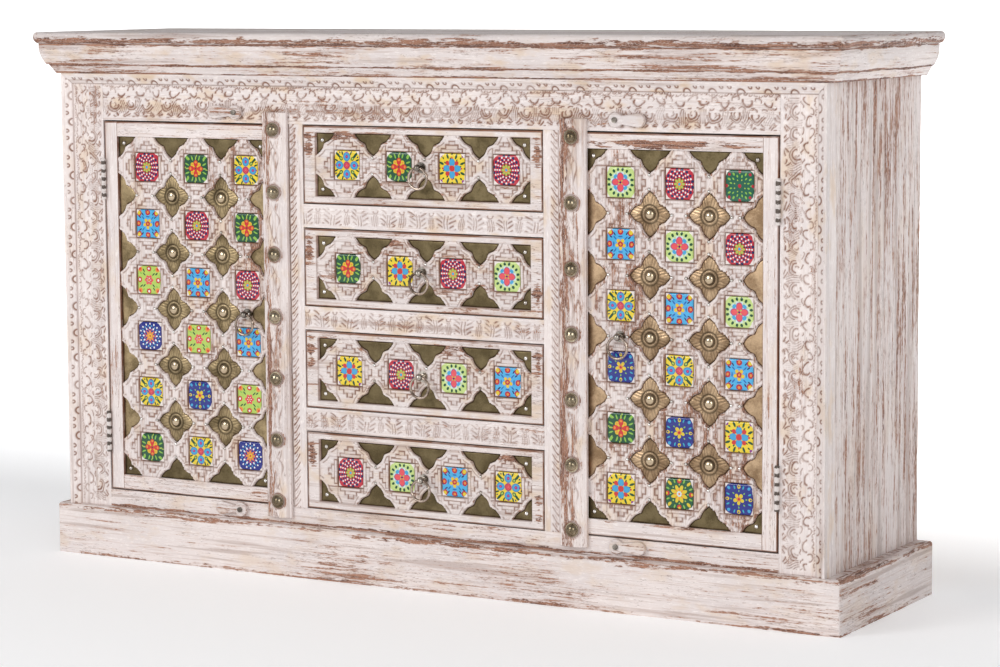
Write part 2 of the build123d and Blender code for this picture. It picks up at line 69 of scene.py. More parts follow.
def new_mesh(name, points, *faces, smooth=True):
    """Mesh object from an array of points and arrays of faces, one array for each number of corners.

    smooth is one answer for all the faces, or one for each.
    """
    mesh = bpy.data.meshes.new(name)
    totals = np.concatenate([np.full(len(group), group.shape[1]) for group in faces])
    corners = np.concatenate([group.ravel() for group in faces])
    mesh.vertices.add(len(points))
    mesh.vertices.foreach_set("co", np.asarray(points, np.float32).ravel())
    mesh.loops.add(len(corners))
    mesh.loops.foreach_set("vertex_index", corners.astype(np.int32))
    mesh.polygons.add(len(totals))
    mesh.polygons.foreach_set("loop_start", (np.cumsum(totals) - totals).astype(np.int32))
    mesh.polygons.foreach_set("use_smooth", np.broadcast_to(smooth, len(totals)).copy())
    mesh.update(calc_edges=True)
    obj = bpy.data.objects.new(name, mesh)
    bpy.context.collection.objects.link(obj)
    return obj


def grid_faces(rows, columns):
    """Quads of a grid of rows x columns points, counted row by row."""
    i, j = np.meshgrid(np.arange(rows - 1), np.arange(columns - 1), indexing="ij")
    first = (i * columns + j).ravel()
    return np.stack([first, first + 1, first + columns + 1, first + columns], axis=1)


# floor and backdrop: a level sheet that bends up a quarter circle behind the cabinet
half_width, front_edge, bend_start, bend_radius = 12.0, -12.0, 9.0, 3.0
rows, columns, level_share = 61, 3, 0.6
along = np.linspace(0, 1, rows)
run = np.interp(along, [0, level_share, 1], [front_edge, bend_start, bend_start])
bend = np.clip((along - level_share) / (1 - level_share), 0, 1) * math.pi / 2
depth = run + bend_radius * np.sin(bend)
height = bend_radius * (1 - np.cos(bend))
side = np.linspace(-half_width, half_width, columns)
points = np.stack([np.tile(side, rows), np.repeat(depth, columns), np.repeat(height, columns)], axis=1)
floor = new_mesh("floor", points, grid_faces(rows, columns))
floor_paint = bpy.data.materials.new("floor_paint")
floor_paint.use_nodes = True
floor_sockets = floor_paint.node_tree.nodes["Principled BSDF"].inputs
floor_sockets["Base Color"].default_value = (0.95, 0.95, 0.95, 1)
floor_sockets["Emission Color"].default_value = (1, 1, 1, 1)
floor_sockets["Emission Strength"].default_value = 0.20
floor_sockets["Roughness"].default_value = 0.8
floor.data.materials.append(floor_paint)

# the room gives a soft cool light, and where the camera sees it past the floor it is plain white
world = bpy.data.worlds.new("studio")
world.use_nodes = True
room = world.node_tree
room.nodes["Background"].inputs["Color"].default_value = (0.96, 0.97, 1.0, 1)
room.nodes["Background"].inputs["Strength"].default_value = 0.41
white = room.nodes.new("ShaderNodeBackground")
white.inputs["Color"].default_value = (1, 1, 1, 1)
either = room.nodes.new("ShaderNodeMixShader")
room.links.new(room.nodes.new("ShaderNodeLightPath").outputs["Is Camera Ray"], either.inputs[0])
room.links.new(room.nodes["Background"].outputs[0], either.inputs[1])
room.links.new(white.outputs[0], either.inputs[2])
room.links.new(either.outputs[0], room.nodes["World Output"].inputs["Surface"])
bpy.context.scene.world = world


def lamp(name, place, aim, size, power):
    """Square area lamp at a place, turned towards a point, itself unseen."""
    data = bpy.data.lights.new(name, "AREA")
    data.shape, data.size, data.energy = "SQUARE", size, power
    obj = bpy.data.objects.new(name, data)
    back = np.array(place, float) - np.array(aim, float)
    back /= np.linalg.norm(back)
    sideways = np.cross([0, 0, 1], back)
    sideways /= np.linalg.norm(sideways)
    lay = np.eye(4)
    lay[:3] = np.stack([sideways, np.cross(back, sideways), back, place], axis=1)
    obj.matrix_world = Matrix(lay.tolist())
    obj.visible_camera = False
    bpy.context.collection.objects.link(obj)


lamp("key_lamp", (-2.2, -4.4, 2.4), (0, 0, 0.5), 2.4, 99)
lamp("fill_lamp", (3.0, -3.6, 1.8), (0, 0, 0.4), 2.2, 55)
lamp("top_lamp", (0.4, 0.8, 3.6), (0, 0, 0.9), 2.4, 3)
lamp("backdrop_lamp", (0.0, 4.0, 5.0), (0, 9.5, 1.0), 4.0, 2400)


# ================================================================ top board and cornice
# A thick slab with a rounded nose over a moulding mitred at the front corners. Like the whole case
# they have a thin coat of white paint on red-brown wood: it is rubbed through along the grain and
# on edges. Dark lines of bare wood under the step of the moulding, at its foot and under the nose
# are painted shadow.

def feed(tree, socket, value):
    """Links a node's output to a socket, or sets the socket to a plain value."""
    if isinstance(value, bpy.types.NodeSocket):
        tree.links.new(value, socket)
    else:
        socket.default_value = value


def add_node(tree, kind, settings=None, **inputs):
    """Node of a kind; settings are its properties, and inputs its sockets by name or as n0, n1."""
    made = tree.nodes.new(kind)
    for key, value in (settings or {}).items():
        setattr(made, key, value)
    for key, value in inputs.items():
        numbered = key[0] == "n" and key[1:].isdigit()
        feed(tree, made.inputs[int(key[1:]) if numbered else key.replace("_", " ")], value)
    return made


def maths(tree, operation, a, b=0.0, c=0.0):
    """Result of a Math node."""
    return add_node(tree, "ShaderNodeMath", {"operation": operation}, n0=a, n1=b, n2=c).outputs[0]


def vectors(tree, operation, *operands):
    """Result of a Vector Math node: a number for a length, and otherwise a vector."""
    inputs = {f"n{number}": operand for number, operand in enumerate(operands)}
    made = add_node(tree, "ShaderNodeVectorMath", {"operation": operation}, **inputs)
    return made.outputs["Value" if operation == "LENGTH" else "Vector"]


def total(tree, *terms):
    """Sum of (value, weight) pairs."""
    result = 0.0
    for value, weight in terms:
        result = maths(tree, "MULTIPLY_ADD", value, weight, result)
    return result


def greatest(tree, values):
    """Greatest of one or more values."""
    most = values[0]
    for value in values[1:]:
        most = maths(tree, "MAXIMUM", most, value)
    return most


def ramp(tree, value, low, high, start=0.0, end=1.0):
    """Smooth step of a value from start at low to end at high."""
    made = add_node(tree, "ShaderNodeMapRange", {"interpolation_type": "SMOOTHSTEP"}, Value=value,
                    From_Min=low, From_Max=high, To_Min=start, To_Max=end)
    return made.outputs[0]


def blend(tree, factor, a, b):
    """Mix of two colours or vectors."""
    return add_node(tree, "ShaderNodeMix", {"data_type": "RGBA"}, n0=factor, n6=a, n7=b).outputs[2]


def noise(tree, vector, scale, detail=3.0, roughness=0.55):
    """Noise with about scale waves to a metre."""
    made = add_node(tree, "ShaderNodeTexNoise", None, Vector=vector, Scale=scale, Detail=detail,
                    Roughness=roughness)
    return made.outputs[0]


def grain_noise(tree, grain, across, along, detail=3.0, roughness=0.6):
    """Noise with one number of waves to a metre across the grain, and another along it, in Z."""
    stretched = vectors(tree, "MULTIPLY", grain, (across, across, along))
    return noise(tree, stretched, 1.0, detail, roughness)


def object_place(tree):
    """Place of a point on the piece, in metres."""
    return add_node(tree, "ShaderNodeTexCoord").outputs["Object"]


def split(tree, vector):
    """The three values of a vector."""
    return add_node(tree, "ShaderNodeSeparateXYZ", None, Vector=vector).outputs


def mesh_value(tree, name):
    """Value that the mesh holds for a point, such as groove or ridge."""
    return add_node(tree, "ShaderNodeAttribute", {"attribute_name": name}).outputs["Fac"]


def off_plane(tree, parts, axis, place):
    """Distance from the plane where X, Y or Z is place; parts are the three values of a point."""
    return maths(tree, "ABSOLUTE", maths(tree, "SUBTRACT", parts["XYZ".index(axis)], place))


def new_group(name, inputs, outputs):
    """Empty node group with its sockets; inputs are (kind, name, value), outputs (kind, name)."""
    tree = bpy.data.node_groups.new(name, "ShaderNodeTree")
    for kind, label, value in inputs:
        socket = tree.interface.new_socket(label, in_out="INPUT", socket_type=f"NodeSocket{kind}")
        if value is not None:
            socket.default_value = value
    for kind, label in outputs:
        tree.interface.new_socket(label, in_out="OUTPUT", socket_type=f"NodeSocket{kind}")
    return tree, tree.nodes.new("NodeGroupInput").outputs, tree.nodes.new("NodeGroupOutput").inputs


tree, given, result = new_group(
    "rubbed_whitewash",
    [("Vector", "Grain", None), ("Float", "Wear", 0.3), ("Float", "Groove", 0.0), ("Float", "Edge", 0.0),
     ("Float", "Stain", 0.4), ("Float", "Tone", 1.0), ("Float", "Patchy", 0.28)],
    [("Color", "Colour"), ("Float", "Roughness"), ("Float", "Height")])
DARK_WOOD, PALE_WOOD = (0.12, 0.052, 0.036, 1), (0.42, 0.215, 0.140, 1)
WARM_PAINT, GREY_PAINT = (0.80, 0.715, 0.685, 1), (0.735, 0.660, 0.640, 1)
FRESH_PAINT, THIN_PAINT = (0.88, 0.808, 0.780, 1), (0.58, 0.40, 0.33, 1)
CREAM, HAIR = (0.72, 0.56, 0.42, 1), (0.50, 0.36, 0.30, 1)
SHADE, CRACK = (0.42, 0.315, 0.275, 1), (0.21, 0.115, 0.085, 1)
DARK_DIRT_AND_SHADE, PALE_DIRT_AND_SHADE = (0.12, 0.050, 0.031, 1), (0.34, 0.165, 0.10, 1)
grain = given["Grain"]
long_streaks = grain_noise(tree, grain, 120, 5.0, 4.0, 0.62)
fine_streaks = grain_noise(tree, grain, 430, 20)
soft_streaks = grain_noise(tree, grain, 75, 2.6)
patches = grain_noise(tree, grain, 10, 3.2)
flakes = grain_noise(tree, grain, 260, 90, 2.0, 0.7)
specks = grain_noise(tree, grain, 800, 240, 2.0)
# edge lines rub the paint through to the wood; on the cornice they draw painted shadow lines
worn_edge_and_shadow_line = maths(tree, "MULTIPLY", given["Edge"], maths(tree, "MULTIPLY_ADD", flakes, 0.28, 0.06))
patchy = maths(tree, "MULTIPLY", maths(tree, "SUBTRACT", patches, 0.5), given["Patchy"])
streaks = total(tree, (long_streaks, 0.42), (fine_streaks, 0.30), (flakes, 0.18), (patchy, 1.0),
                (given["Wear"], 0.3), (worn_edge_and_shadow_line, 1.0))
bare = ramp(tree, streaks, 0.640, 0.672)
# specks of paint stay on in the rubbed places
rubbed = maths(tree, "MULTIPLY", bare, ramp(tree, specks, 0.36, 0.46, 0.35, 1.0))
thin = ramp(tree, streaks, 0.588, 0.655, 0.0, 0.42)
wood = blend(tree, ramp(tree, fine_streaks, 0.36, 0.62), DARK_WOOD, PALE_WOOD)
clouds = grain_noise(tree, grain, 14, 7, 2.0, 0.5)
paint = blend(tree, ramp(tree, clouds, 0.35, 0.65), WARM_PAINT, GREY_PAINT)
bright = blend(tree, ramp(tree, flakes, 0.48, 0.72), paint, FRESH_PAINT)
blots = grain_noise(tree, grain, 30, 14)
cream = maths(tree, "MULTIPLY", ramp(tree, blots, 0.50, 0.70), given["Stain"])
stained = blend(tree, cream, bright, CREAM)
hairs = ramp(tree, grain_noise(tree, grain, 620, 12, 2.0, 0.5), 0.56, 0.68, 0.0, 0.42)
haired = blend(tree, hairs, stained, HAIR)
worn_share = maths(tree, "MULTIPLY_ADD", given["Wear"], 0.10, soft_streaks)
shaded = blend(tree, ramp(tree, worn_share, 0.575, 0.70, 0.0, 0.55), haired, SHADE)
# fine cracks run where one of the long noises crosses its middle value
long_noise = grain_noise(tree, grain, 150, 8, 4.0, 0.7)
off_middle = maths(tree, "ABSOLUTE", maths(tree, "SUBTRACT", long_noise, 0.5))
dry = ramp(tree, total(tree, (patches, 0.6), (flakes, 0.4), (given["Wear"], 0.25)), 0.56, 0.64, 0.0, 0.8)
cracks = maths(tree, "MULTIPLY", ramp(tree, off_middle, 0.012, 0.004), dry)
cracked = blend(tree, cracks, shaded, CRACK)
pink = blend(tree, thin, cracked, THIN_PAINT)
colour = blend(tree, rubbed, pink, wood)
# grooves take this dark colour: grime in the carved cuts and joints, and painted shadow in the gaps round
# doors, drawer fronts, tiles and studs
grooved = maths(tree, "MULTIPLY", given["Groove"], ramp(tree, blots, 0.34, 0.56, 0.62, 1.0))
dirt_and_shade = blend(tree, flakes, DARK_DIRT_AND_SHADE, PALE_DIRT_AND_SHADE)
colour = blend(tree, grooved, colour, dirt_and_shade)
toned = add_node(tree, "ShaderNodeHueSaturation", None, Color=colour, Value=given["Tone"]).outputs[0]
tree.links.new(toned, result["Colour"])
tree.links.new(ramp(tree, rubbed, 0, 1, 0.62, 0.78), result["Roughness"])
tree.links.new(total(tree, (fine_streaks, 0.5), (rubbed, -0.6)), result["Height"])
whitewash_group = tree


def new_material(name, specular=0.5, coat=0.0):
    """Material with an empty Principled shader; its tree and the shader come with it."""
    made = bpy.data.materials.new(name)
    made.use_nodes = True
    shader = made.node_tree.nodes["Principled BSDF"]
    shader.inputs["Specular IOR Level"].default_value = specular
    shader.inputs["Coat Weight"].default_value = coat
    return made, made.node_tree, shader


def finish_surface(tree, shader, colour, roughness, height, distance):
    """Gives the shader its colour and roughness, and a bump of height times a distance in metres."""
    bump = add_node(tree, "ShaderNodeBump", None, Height=height, Distance=distance)
    for name, value in (("Base Color", colour), ("Roughness", roughness), ("Normal", bump.outputs[0])):
        feed(tree, shader.inputs[name], value)


def along_grain(tree, place, grain, shift=(0, 0, 0), fineness=1.0):
    """Place turned so that its Z runs along the grain, which is the piece's x, y or z."""
    turned = {"x": (0, math.pi / 2, 0), "y": (math.pi / 2, 0, 0), "z": (0, 0, 0)}[grain]
    made = add_node(tree, "ShaderNodeMapping", None, Vector=place, Rotation=turned, Location=shift,
                    Scale=(fineness, fineness, fineness))
    return made.outputs[0]


def whitewash(name, grain, wear, stain, tone, carved=False, shift=(0, 0, 0), edges=(), patches=(),
              fineness=1.0, patchy=0.28, level=None, seams=()):
    """Whitewashed wood with its grain along x, y or z; fineness scales the whole pattern.

    wear is how much of the paint is rubbed off, stain how much of it has yellowed, tone its
    brightness, and patchy how uneven the wear is. shift moves the pattern, in metres.
    carved reads the mesh's groove and ridge values. edges are (axis, place, half width, amount)
    lines of bare wood, for rubbed edges and for painted shadow lines, and patches (centre, half sizes,
    amount) rubbed areas, in metres and ragged.
    level is (middle, half width) in X of a stretch whose grain runs along x instead. seams are
    (axis, place, half width) lines in the dark groove colour: grime settled in a joint, and painted
    shadow in the gap round a door.
    """
    made, tree, shader = new_material(name, 0.3)
    place = object_place(tree)
    parts = split(tree, place)
    turned = along_grain(tree, place, grain, shift, fineness)
    if level:
        inside = maths(tree, "COMPARE", parts[0], level[0], level[1])
        turned = blend(tree, inside, turned, along_grain(tree, place, "x", shift))
    coat = add_node(tree, "ShaderNodeGroup", {"node_tree": whitewash_group}, Grain=turned, Wear=wear,
                    Stain=stain, Tone=tone, Patchy=patchy)
    if edges or patches:
        ragged = maths(tree, "SUBTRACT", grain_noise(tree, turned, 110, 16, 4.0, 0.7), 0.5)
    rubs_and_shadow_lines, dirt_and_shade_masks = [], []
    for axis, middle, half, amount in edges:
        away = maths(tree, "MULTIPLY_ADD", ragged, 5 * half, off_plane(tree, parts, axis, middle))
        rubs_and_shadow_lines.append(ramp(tree, away, half, half * 0.35, 0.0, amount))
    for centre, sizes, amount in patches:
        share = vectors(tree, "DIVIDE", vectors(tree, "SUBTRACT", place, centre), sizes)
        away = maths(tree, "MULTIPLY_ADD", ragged, 4.5, vectors(tree, "LENGTH", share))
        rubs_and_shadow_lines.append(ramp(tree, away, 1.0, 0.2, 0.0, amount))
    for axis, middle, half in seams:
        dirt_and_shade_masks.append(ramp(tree, off_plane(tree, parts, axis, middle), half + 0.0004, half - 0.0003))
    if carved:
        rubs_and_shadow_lines.append(mesh_value(tree, "ridge"))
        dirt_and_shade_masks.append(mesh_value(tree, "groove"))
    for values, name in ((rubs_and_shadow_lines, "Edge"), (dirt_and_shade_masks, "Groove")):
        if values:
            feed(tree, coat.inputs[name], greatest(tree, values))
    colour, roughness, height = (coat.outputs[key] for key in ("Colour", "Roughness", "Height"))
    finish_surface(tree, shader, colour, roughness, height, 0.0006)
    return made


def dress(node, material):
    """Gives a CAD node its material."""
    mesh = nodes[node].data
    mesh.materials.clear()
    mesh.materials.append(material)


# lines of bare wood under the moulding's step, at its foot and under the nose: painted shadow
cornice_shadow_lines = [("Z", 0.8584, 0.0022, 1.3), ("Z", 0.8436, 0.0020, 1.1), ("Z", 0.8935, 0.0024, 1.0)]
# the streaks follow the edge of the nose round the ends
dress("top_board", whitewash(
    "top_board_paint", "y", wear=0.36, stain=0.25, tone=0.87, shift=(0.1, 0, 0.2),
    edges=[("Z", 0.8985, 0.007, 0.85)], level=(0, 0.750)))
dress("cornice_front", whitewash(
    "cornice_paint", "x", wear=0.46, stain=0.75, tone=0.94, shift=(0, 0.4, 0), edges=cornice_shadow_lines))
dress("cornice_sides", whitewash(
    "cornice_end_paint", "y", wear=0.34, stain=0.5, tone=0.96, edges=cornice_shadow_lines))


# ================================================================ side panels, plinth and plain rail
# Flat whitewashed boards: the ends of the case with thin upright streaks, a mitred plinth with a
# rounded upper edge, and the plain lower rail.

end_paint = whitewash("end_panel_paint", "z", wear=0.55, stain=0.30, tone=0.97, shift=(0.2, 0.1, 0),
                      fineness=0.66, patchy=0.12)
for node in ("side_panel_left", "side_panel_right"):
    dress(node, end_paint)
plinth_lines = [("Z", 0.084, 0.005, 0.45), ("Z", 0.002, 0.004, 0.35)]
# the upper edge of the plinth is rubbed most from the middle towards the right
dress("plinth_front", whitewash(
    "plinth_paint", "x", wear=0.44, stain=0.45, tone=1.0, shift=(0, 0, 0.33), edges=plinth_lines,
    patches=[((0.14, -0.19, 0.084), (0.42, 0.05, 0.007), 1.1)]))
dress("plinth_ends_and_back", whitewash(
    "plinth_end_paint", "y", wear=0.50, stain=0.4, tone=0.96, edges=plinth_lines, level=(0, 0.735)))
dress("bottom_rail", whitewash(
    "lower_rail_paint", "x", wear=0.44, stain=0.6, tone=1.0, shift=(0.5, 0, 0.1),
    edges=[("Z", 0.090, 0.003, 0.9)]))


# ================================================================ carved members of the face frame
# Flat boards with fluted pillars, round cups and leaf strokes cut a few millimetres deep with a
# gouge, painted over. The upper rail, the stiles and the rails between the drawers all carry them.

def closed_sheet(points, back_y):
    """Grid of points closed by a wall down to the plane y = back_y and a flat back.

    points is rows x columns x 3; the wall drops each border point on to the plane, and the back is
    a fan about their mean. Gives the vertices, the quads with those of the grid first, and the fan.
    """
    rows, columns = points.shape[:2]
    index = np.arange(rows * columns).reshape(rows, columns)
    border = np.concatenate([index[0, :-1], index[:-1, -1], index[-1, :0:-1], index[:0:-1, 0]])
    flat = points.reshape(-1, 3)
    back = flat[border].copy()
    back[:, 1] = back_y
    ring = rows * columns + np.arange(len(border))
    following = np.roll(ring, -1)
    wall = np.stack([border, np.roll(border, -1), following, ring], axis=1)
    fan = np.stack([ring, following, np.full(len(ring), ring[-1] + 1)], axis=1)
    front = grid_faces(rows, columns)
    vertices = np.concatenate([flat, back, back.mean(axis=0, keepdims=True)])
    # the grid faces outwards when its normals point to -Y
    a, b, c = vertices[front[len(front) // 2, [0, 1, 3]]]
    if np.cross(b - a, c - a)[1] > 0:
        front = front[:, ::-1]
    else:
        wall, fan = wall[:, ::-1], fan[:, ::-1]
    return vertices, np.concatenate([front, wall]), fan


def closed_relief(name, sheets, back_y, body, material):
    """Mesh of one or more closed sheets; each comes with the groove and ridge values of its grid."""
    vertices, quads, fans, grooves, ridges, smooth = [], [], [], [], [], []
    first = 0
    for points, groove, ridge in sheets:
        places, walls, fan = closed_sheet(points, back_y)
        vertices.append(places)
        quads.append(walls + first)
        fans.append(fan + first)
        spare = np.zeros(len(places) - groove.size)
        grooves.append(np.concatenate([groove.ravel(), spare]))
        ridges.append(np.concatenate([ridge.ravel(), spare]))
        smooth.append(np.arange(len(walls)) < (points.shape[0] - 1) * (points.shape[1] - 1))
        first += len(places)
    fans = np.concatenate(fans)
    smooth = np.concatenate(smooth + [np.zeros(len(fans), bool)])
    obj = new_mesh(name, np.concatenate(vertices), np.concatenate(quads), fans, smooth=smooth)
    for label, values in (("groove", grooves), ("ridge", ridges)):
        held = obj.data.attributes.new(label, "FLOAT", "POINT")
        held.data.foreach_set("value", np.concatenate(values))
    obj.data.materials.append(material)
    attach(obj, body)
    return obj


def bell(distance, width):
    """1 on a line, falling off within a width of it."""
    return np.exp(-(distance / width) ** 2)


def band(values, low, high, fade=1.2):
    """1 between low and high, fading to 0 at both."""
    return np.clip((values - low) / fade, 0, 1) * np.clip((high - values) / fade, 0, 1)


def soften(values, times):
    """Mean of each value and its four neighbours, taken several times."""
    for _ in range(times):
        padded = np.pad(values, 1, mode="edge")
        above, below = padded[2:, 1:-1], padded[:-2, 1:-1]
        right, left = padded[1:-1, 2:], padded[1:-1, :-2]
        values = (values + above + below + right + left) / 5
    return values


def hollows_and_ridges(height, times=4, scale=0.8):
    """How far each point lies below and above the mean of its surroundings, each from 0 to 1."""
    difference = (soften(height, times) - height) / scale
    return np.clip(difference, 0, 1), np.clip(-difference, 0, 1)


def leaf_carving(s, t, pitch, width):
    """Depth of cut at s along and t across a band of a given width, all in millimetres.

    A pillar of upright flutes stands at every pitch, with leaf strokes at equal angles about its
    foot. Round cups, arcs open away from the foot, hang midway between the pillars and over each
    pillar. Small arcs close the far edge. Slow waves shift every line a little.
    """
    s = s + 2.4 * np.sin(0.071 * s + 0.13 * t) + 1.4 * np.sin(0.197 * t + 0.05 * s)
    t = t + 1.8 * np.sin(0.093 * s + 1.0) + 0.9 * np.sin(0.31 * s)
    which = np.floor(s / pitch + 0.5)
    u = s - which * pitch
    w = pitch / 2 - np.abs(u)
    lively = 0.68 + 0.32 * np.sin(2.4 * which + 0.05 * t)
    flutes = np.minimum(np.abs(np.abs(u) - 1.7), np.abs(np.abs(u) - 4.8))
    cut = 1.8 * bell(flutes, 0.85) * band(t, 7, 31) * lively
    foot, angle = np.hypot(u, t + 1), np.degrees(np.arctan2(np.abs(u), t + 1))
    stroke = np.radians(np.abs(np.mod(angle, 26) - 13)) * foot
    cut = np.maximum(cut, 2.6 * bell(stroke, 1.25) * band(foot, 6, 17) * (angle > 22))
    cup = np.hypot(w, t - 0.42 * width)
    open_side = t < 0.42 * width + 2 + 2 * np.sin(which)
    cut = np.maximum(cut, 3.0 * (0.45 + 0.55 * lively) * bell(cup - 8.0, 1.5) * open_side)
    cut = np.maximum(cut, 2.2 * bell(cup - 12.0, 1.1) * (t < 0.42 * width - 2))
    cut = np.maximum(cut, 1.8 * bell(cup - 3.2, 1.0) * (np.sin(3.1 * which) > 0.1))
    upper = np.hypot(u, t - 44.0)
    cut = np.maximum(cut, 2.6 * bell(upper - 7.5, 1.3) * (t < 45 + 2 * np.sin(1.7 * which)))
    side_cup = np.hypot(w - 1.0, t - 47.0)
    cut = np.maximum(cut, 2.0 * bell(side_cup - 4.5, 1.1) * (t > 45))
    dashes = bell(t - 33 - 1.5 * np.sin(0.4 * s), 1.0) * (np.sin(0.33 * s + which) > -0.2)
    cut = np.maximum(cut, 2.2 * dashes)
    beads = np.hypot(np.mod(s, pitch / 4) - pitch / 8, t - width)
    return np.maximum(cut, 1.7 * bell(beads - 3.0, 0.9) * (t < width))


def palm_carving(s, t):
    """Depth of cut in millimetres along a 31 mm band: fronds every 55 mm, with a pillar between.

    A frond has a stem between two upright lines and short strokes that rise outwards from it. The
    pillar is two pairs of lines under a small bowl.
    """
    s = s + 1.8 * np.sin(0.083 * s) + 1.0 * np.sin(0.21 * t + 0.05 * s)
    t = t + 1.0 * np.sin(0.11 * s)
    which = np.floor(s / 55 + 0.5)
    u = np.abs(s - which * 55)
    w = 27.5 - u
    lively = 0.75 + 0.25 * np.sin(2.9 * which + 0.2 * t)
    stem = bell(u - 2.6, 0.9) * band(t, 1, 22 + 3 * np.sin(which))
    rising = np.mod(t - 0.85 * u + 0.012 * u ** 2 + 2 * which, 7.6) - 3.8
    stroke = 1.25 * bell(0.78 * rising, 1.35) * band(t, 2, 29)
    stroke = stroke * band(u, 4.2, 16.5 + 2 * np.sin(0.5 * t), 2.0)
    pillar = bell(w - 2.0, 0.9) * band(t, 1, 22) + 0.8 * bell(w - 5.2, 0.9) * band(t, 3, 19)
    bowl = 0.9 * bell(np.hypot(w, t - 27.0) - 4.2, 1.1) * (t < 28)
    return 2.2 * np.maximum(np.maximum(stem, stroke * lively), np.maximum(pillar, bowl))


def carved_board(name, x, z, y, cut, material, step, soil=1.0):
    """Board of the case between two ends in x, z and y, its front cut by cut(X, Z) in millimetres.

    Its points are step metres apart, and soil is how much dirt lies in the cuts.
    """
    columns = int(round((x[1] - x[0]) / step)) + 1
    rows = int(round((z[1] - z[0]) / step)) + 1
    across, up = np.meshgrid(np.linspace(*x, columns), np.linspace(*z, rows))
    depth = cut(across * 1000, up * 1000)
    hollow, ridge = hollows_and_ridges(-depth)
    groove = np.clip(soil * (depth / 2.9 + 0.30 * hollow), 0, 1)
    points = np.stack([across, y[0] + soften(depth, 1) / 1000, up], axis=-1)
    return closed_relief(name, [(points, groove, 0.6 * ridge)], y[1], "carcass", material)


carved_level = whitewash("carved_level_paint", "x", wear=0.16, stain=0.9, tone=1.0, carved=True,
                         shift=(0.2, 0, 0.5))
low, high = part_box("top_rail")
rail = carved_board(
    "carved_top_rail", (low.x, high.x), (low.z, high.z), (low.y, high.y),
    lambda x, z: leaf_carving(x + 8, z - 768, pitch=37, width=56) * band(z, 769, 826),
    carved_level, step=0.0017, soil=1.6)
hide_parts("top_rail")

for side, name in ((-1, "left"), (1, "right")):
    low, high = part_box("outer_stiles")
    ends = sorted((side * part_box("top_rail")[1].x, side * high.x))
    paint = whitewash(f"outer_stile_paint_{name}", "z", wear=0.18, stain=0.7, tone=1.03, carved=True,
                      shift=(0.6, side, 0.1))
    stile = carved_board(
        f"carved_outer_stile_{name}", ends, (low.z, high.z), (low.y, high.y),
        lambda x, z: (leaf_carving(z, np.abs(x) - 644, pitch=34, width=57)
                      * band(np.abs(x), 645, 702) * band(z, 96, 822)),
        paint, step=0.0015)
    if side < 0:
        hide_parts("outer_stiles")


def rope_carving(s, t):
    """Depth of cut of a column of slanting leaf strokes, 12.5 mm apart, between two straight lines."""
    lean = s + 0.9 * t + 1.2 * np.sin(0.11 * s) + 1.6 * np.sin(0.35 * t)
    stroke = np.abs(np.mod(lean, 12.5) - 6.25) * 0.75
    cut = 2.4 * bell(stroke, 1.1) * band(t, 13, 27, 2.0)
    vein = np.abs(np.mod(lean + 6.25, 12.5) - 6.25) * 0.75
    cut = np.maximum(cut, 1.4 * bell(vein, 0.8) * band(t, 17, 24, 2.0))
    return np.maximum(cut, 1.5 * bell(t - 28.2 - 0.5 * np.sin(0.2 * s), 1.2))


for side, name in ((-1, "left"), (1, "right")):
    low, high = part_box("inner_stiles")
    ends = sorted((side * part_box("drawer_rails")[1].x, side * high.x))
    paint = whitewash(f"inner_stile_paint_{name}", "z", wear=0.20, stain=0.8, tone=1.0, carved=True,
                      shift=(side, 0, 0.4))
    stile = carved_board(
        f"carved_inner_stile_{name}", ends, (low.z, high.z), (low.y, high.y),
        lambda x, z: rope_carving(z, np.abs(x) - 228.5), paint, step=0.0012, soil=1.3)
    if side < 0:
        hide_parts("inner_stiles")

low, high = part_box("drawer_rails")
rail_height = 0.039
pitch = (high.z - low.z - rail_height) / 2
for number in range(3):
    foot = low.z + number * pitch
    rail = carved_board(
        f"carved_drawer_rail_{number + 1}", (low.x, high.x), (foot, foot + rail_height), (low.y, high.y),
        lambda x, z: palm_carving(x + 31 * number, z - 1000 * foot - 4) * band(z - 1000 * foot, 4.5, 35),
        carved_level, step=0.0012, soil=0.8)
    if number == 0:
        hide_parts("drawer_rails")


# ================================================================ border strips
# Whitewashed bevelled strips nailed round the face frame, high at the outer edge and mitred at the
# top corners. Small arches stand on the inner edge of the bevel, with a pair of gouge marks
# between two arches.

STRIP_WIDTH = 18.0


def strip_section(across):
    """Height of the strip above the frame at a distance from its outer edge, in millimetres."""
    return np.interp(across, [0, 2.5, STRIP_WIDTH], [11.0, 11.0, 2.5])


def gouge_marks(s, across):
    """Depth of the marks, in millimetres: an arch every 46 mm and two arcs between each pair."""
    u = np.mod(s + 1.5 * np.sin(0.05 * s), 46.0) - 23.0
    arch = 1.7 * bell(np.hypot(u, across - 17.5) - 6.2, 1.4) * (across < 17)
    apart = np.abs(np.abs(u) - 23.0) - 6.5
    pair = 1.6 * bell(np.hypot(apart, across - 8.0) - 2.6, 1.1) * (across > 7.2)
    return np.maximum(arch, pair)


strip_low, strip_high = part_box("border_strips")
face_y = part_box("drawer_1_front")[0].y
# the left strip's paint is lighter and the right one's darker and more worn: painted light and shade of
# bevels that face different ways
strip_paint_lit_and_shaded = {
    "left": whitewash("border_left_paint_painted_light", "z", wear=0.10, stain=0.3, tone=1.08, carved=True),
    "right": whitewash("border_right_paint_painted_shade", "z", wear=0.22, stain=0.6, tone=0.94, carved=True),
    "top": whitewash("border_top_paint", "x", wear=0.24, stain=1.0, tone=0.97, carved=True),
}
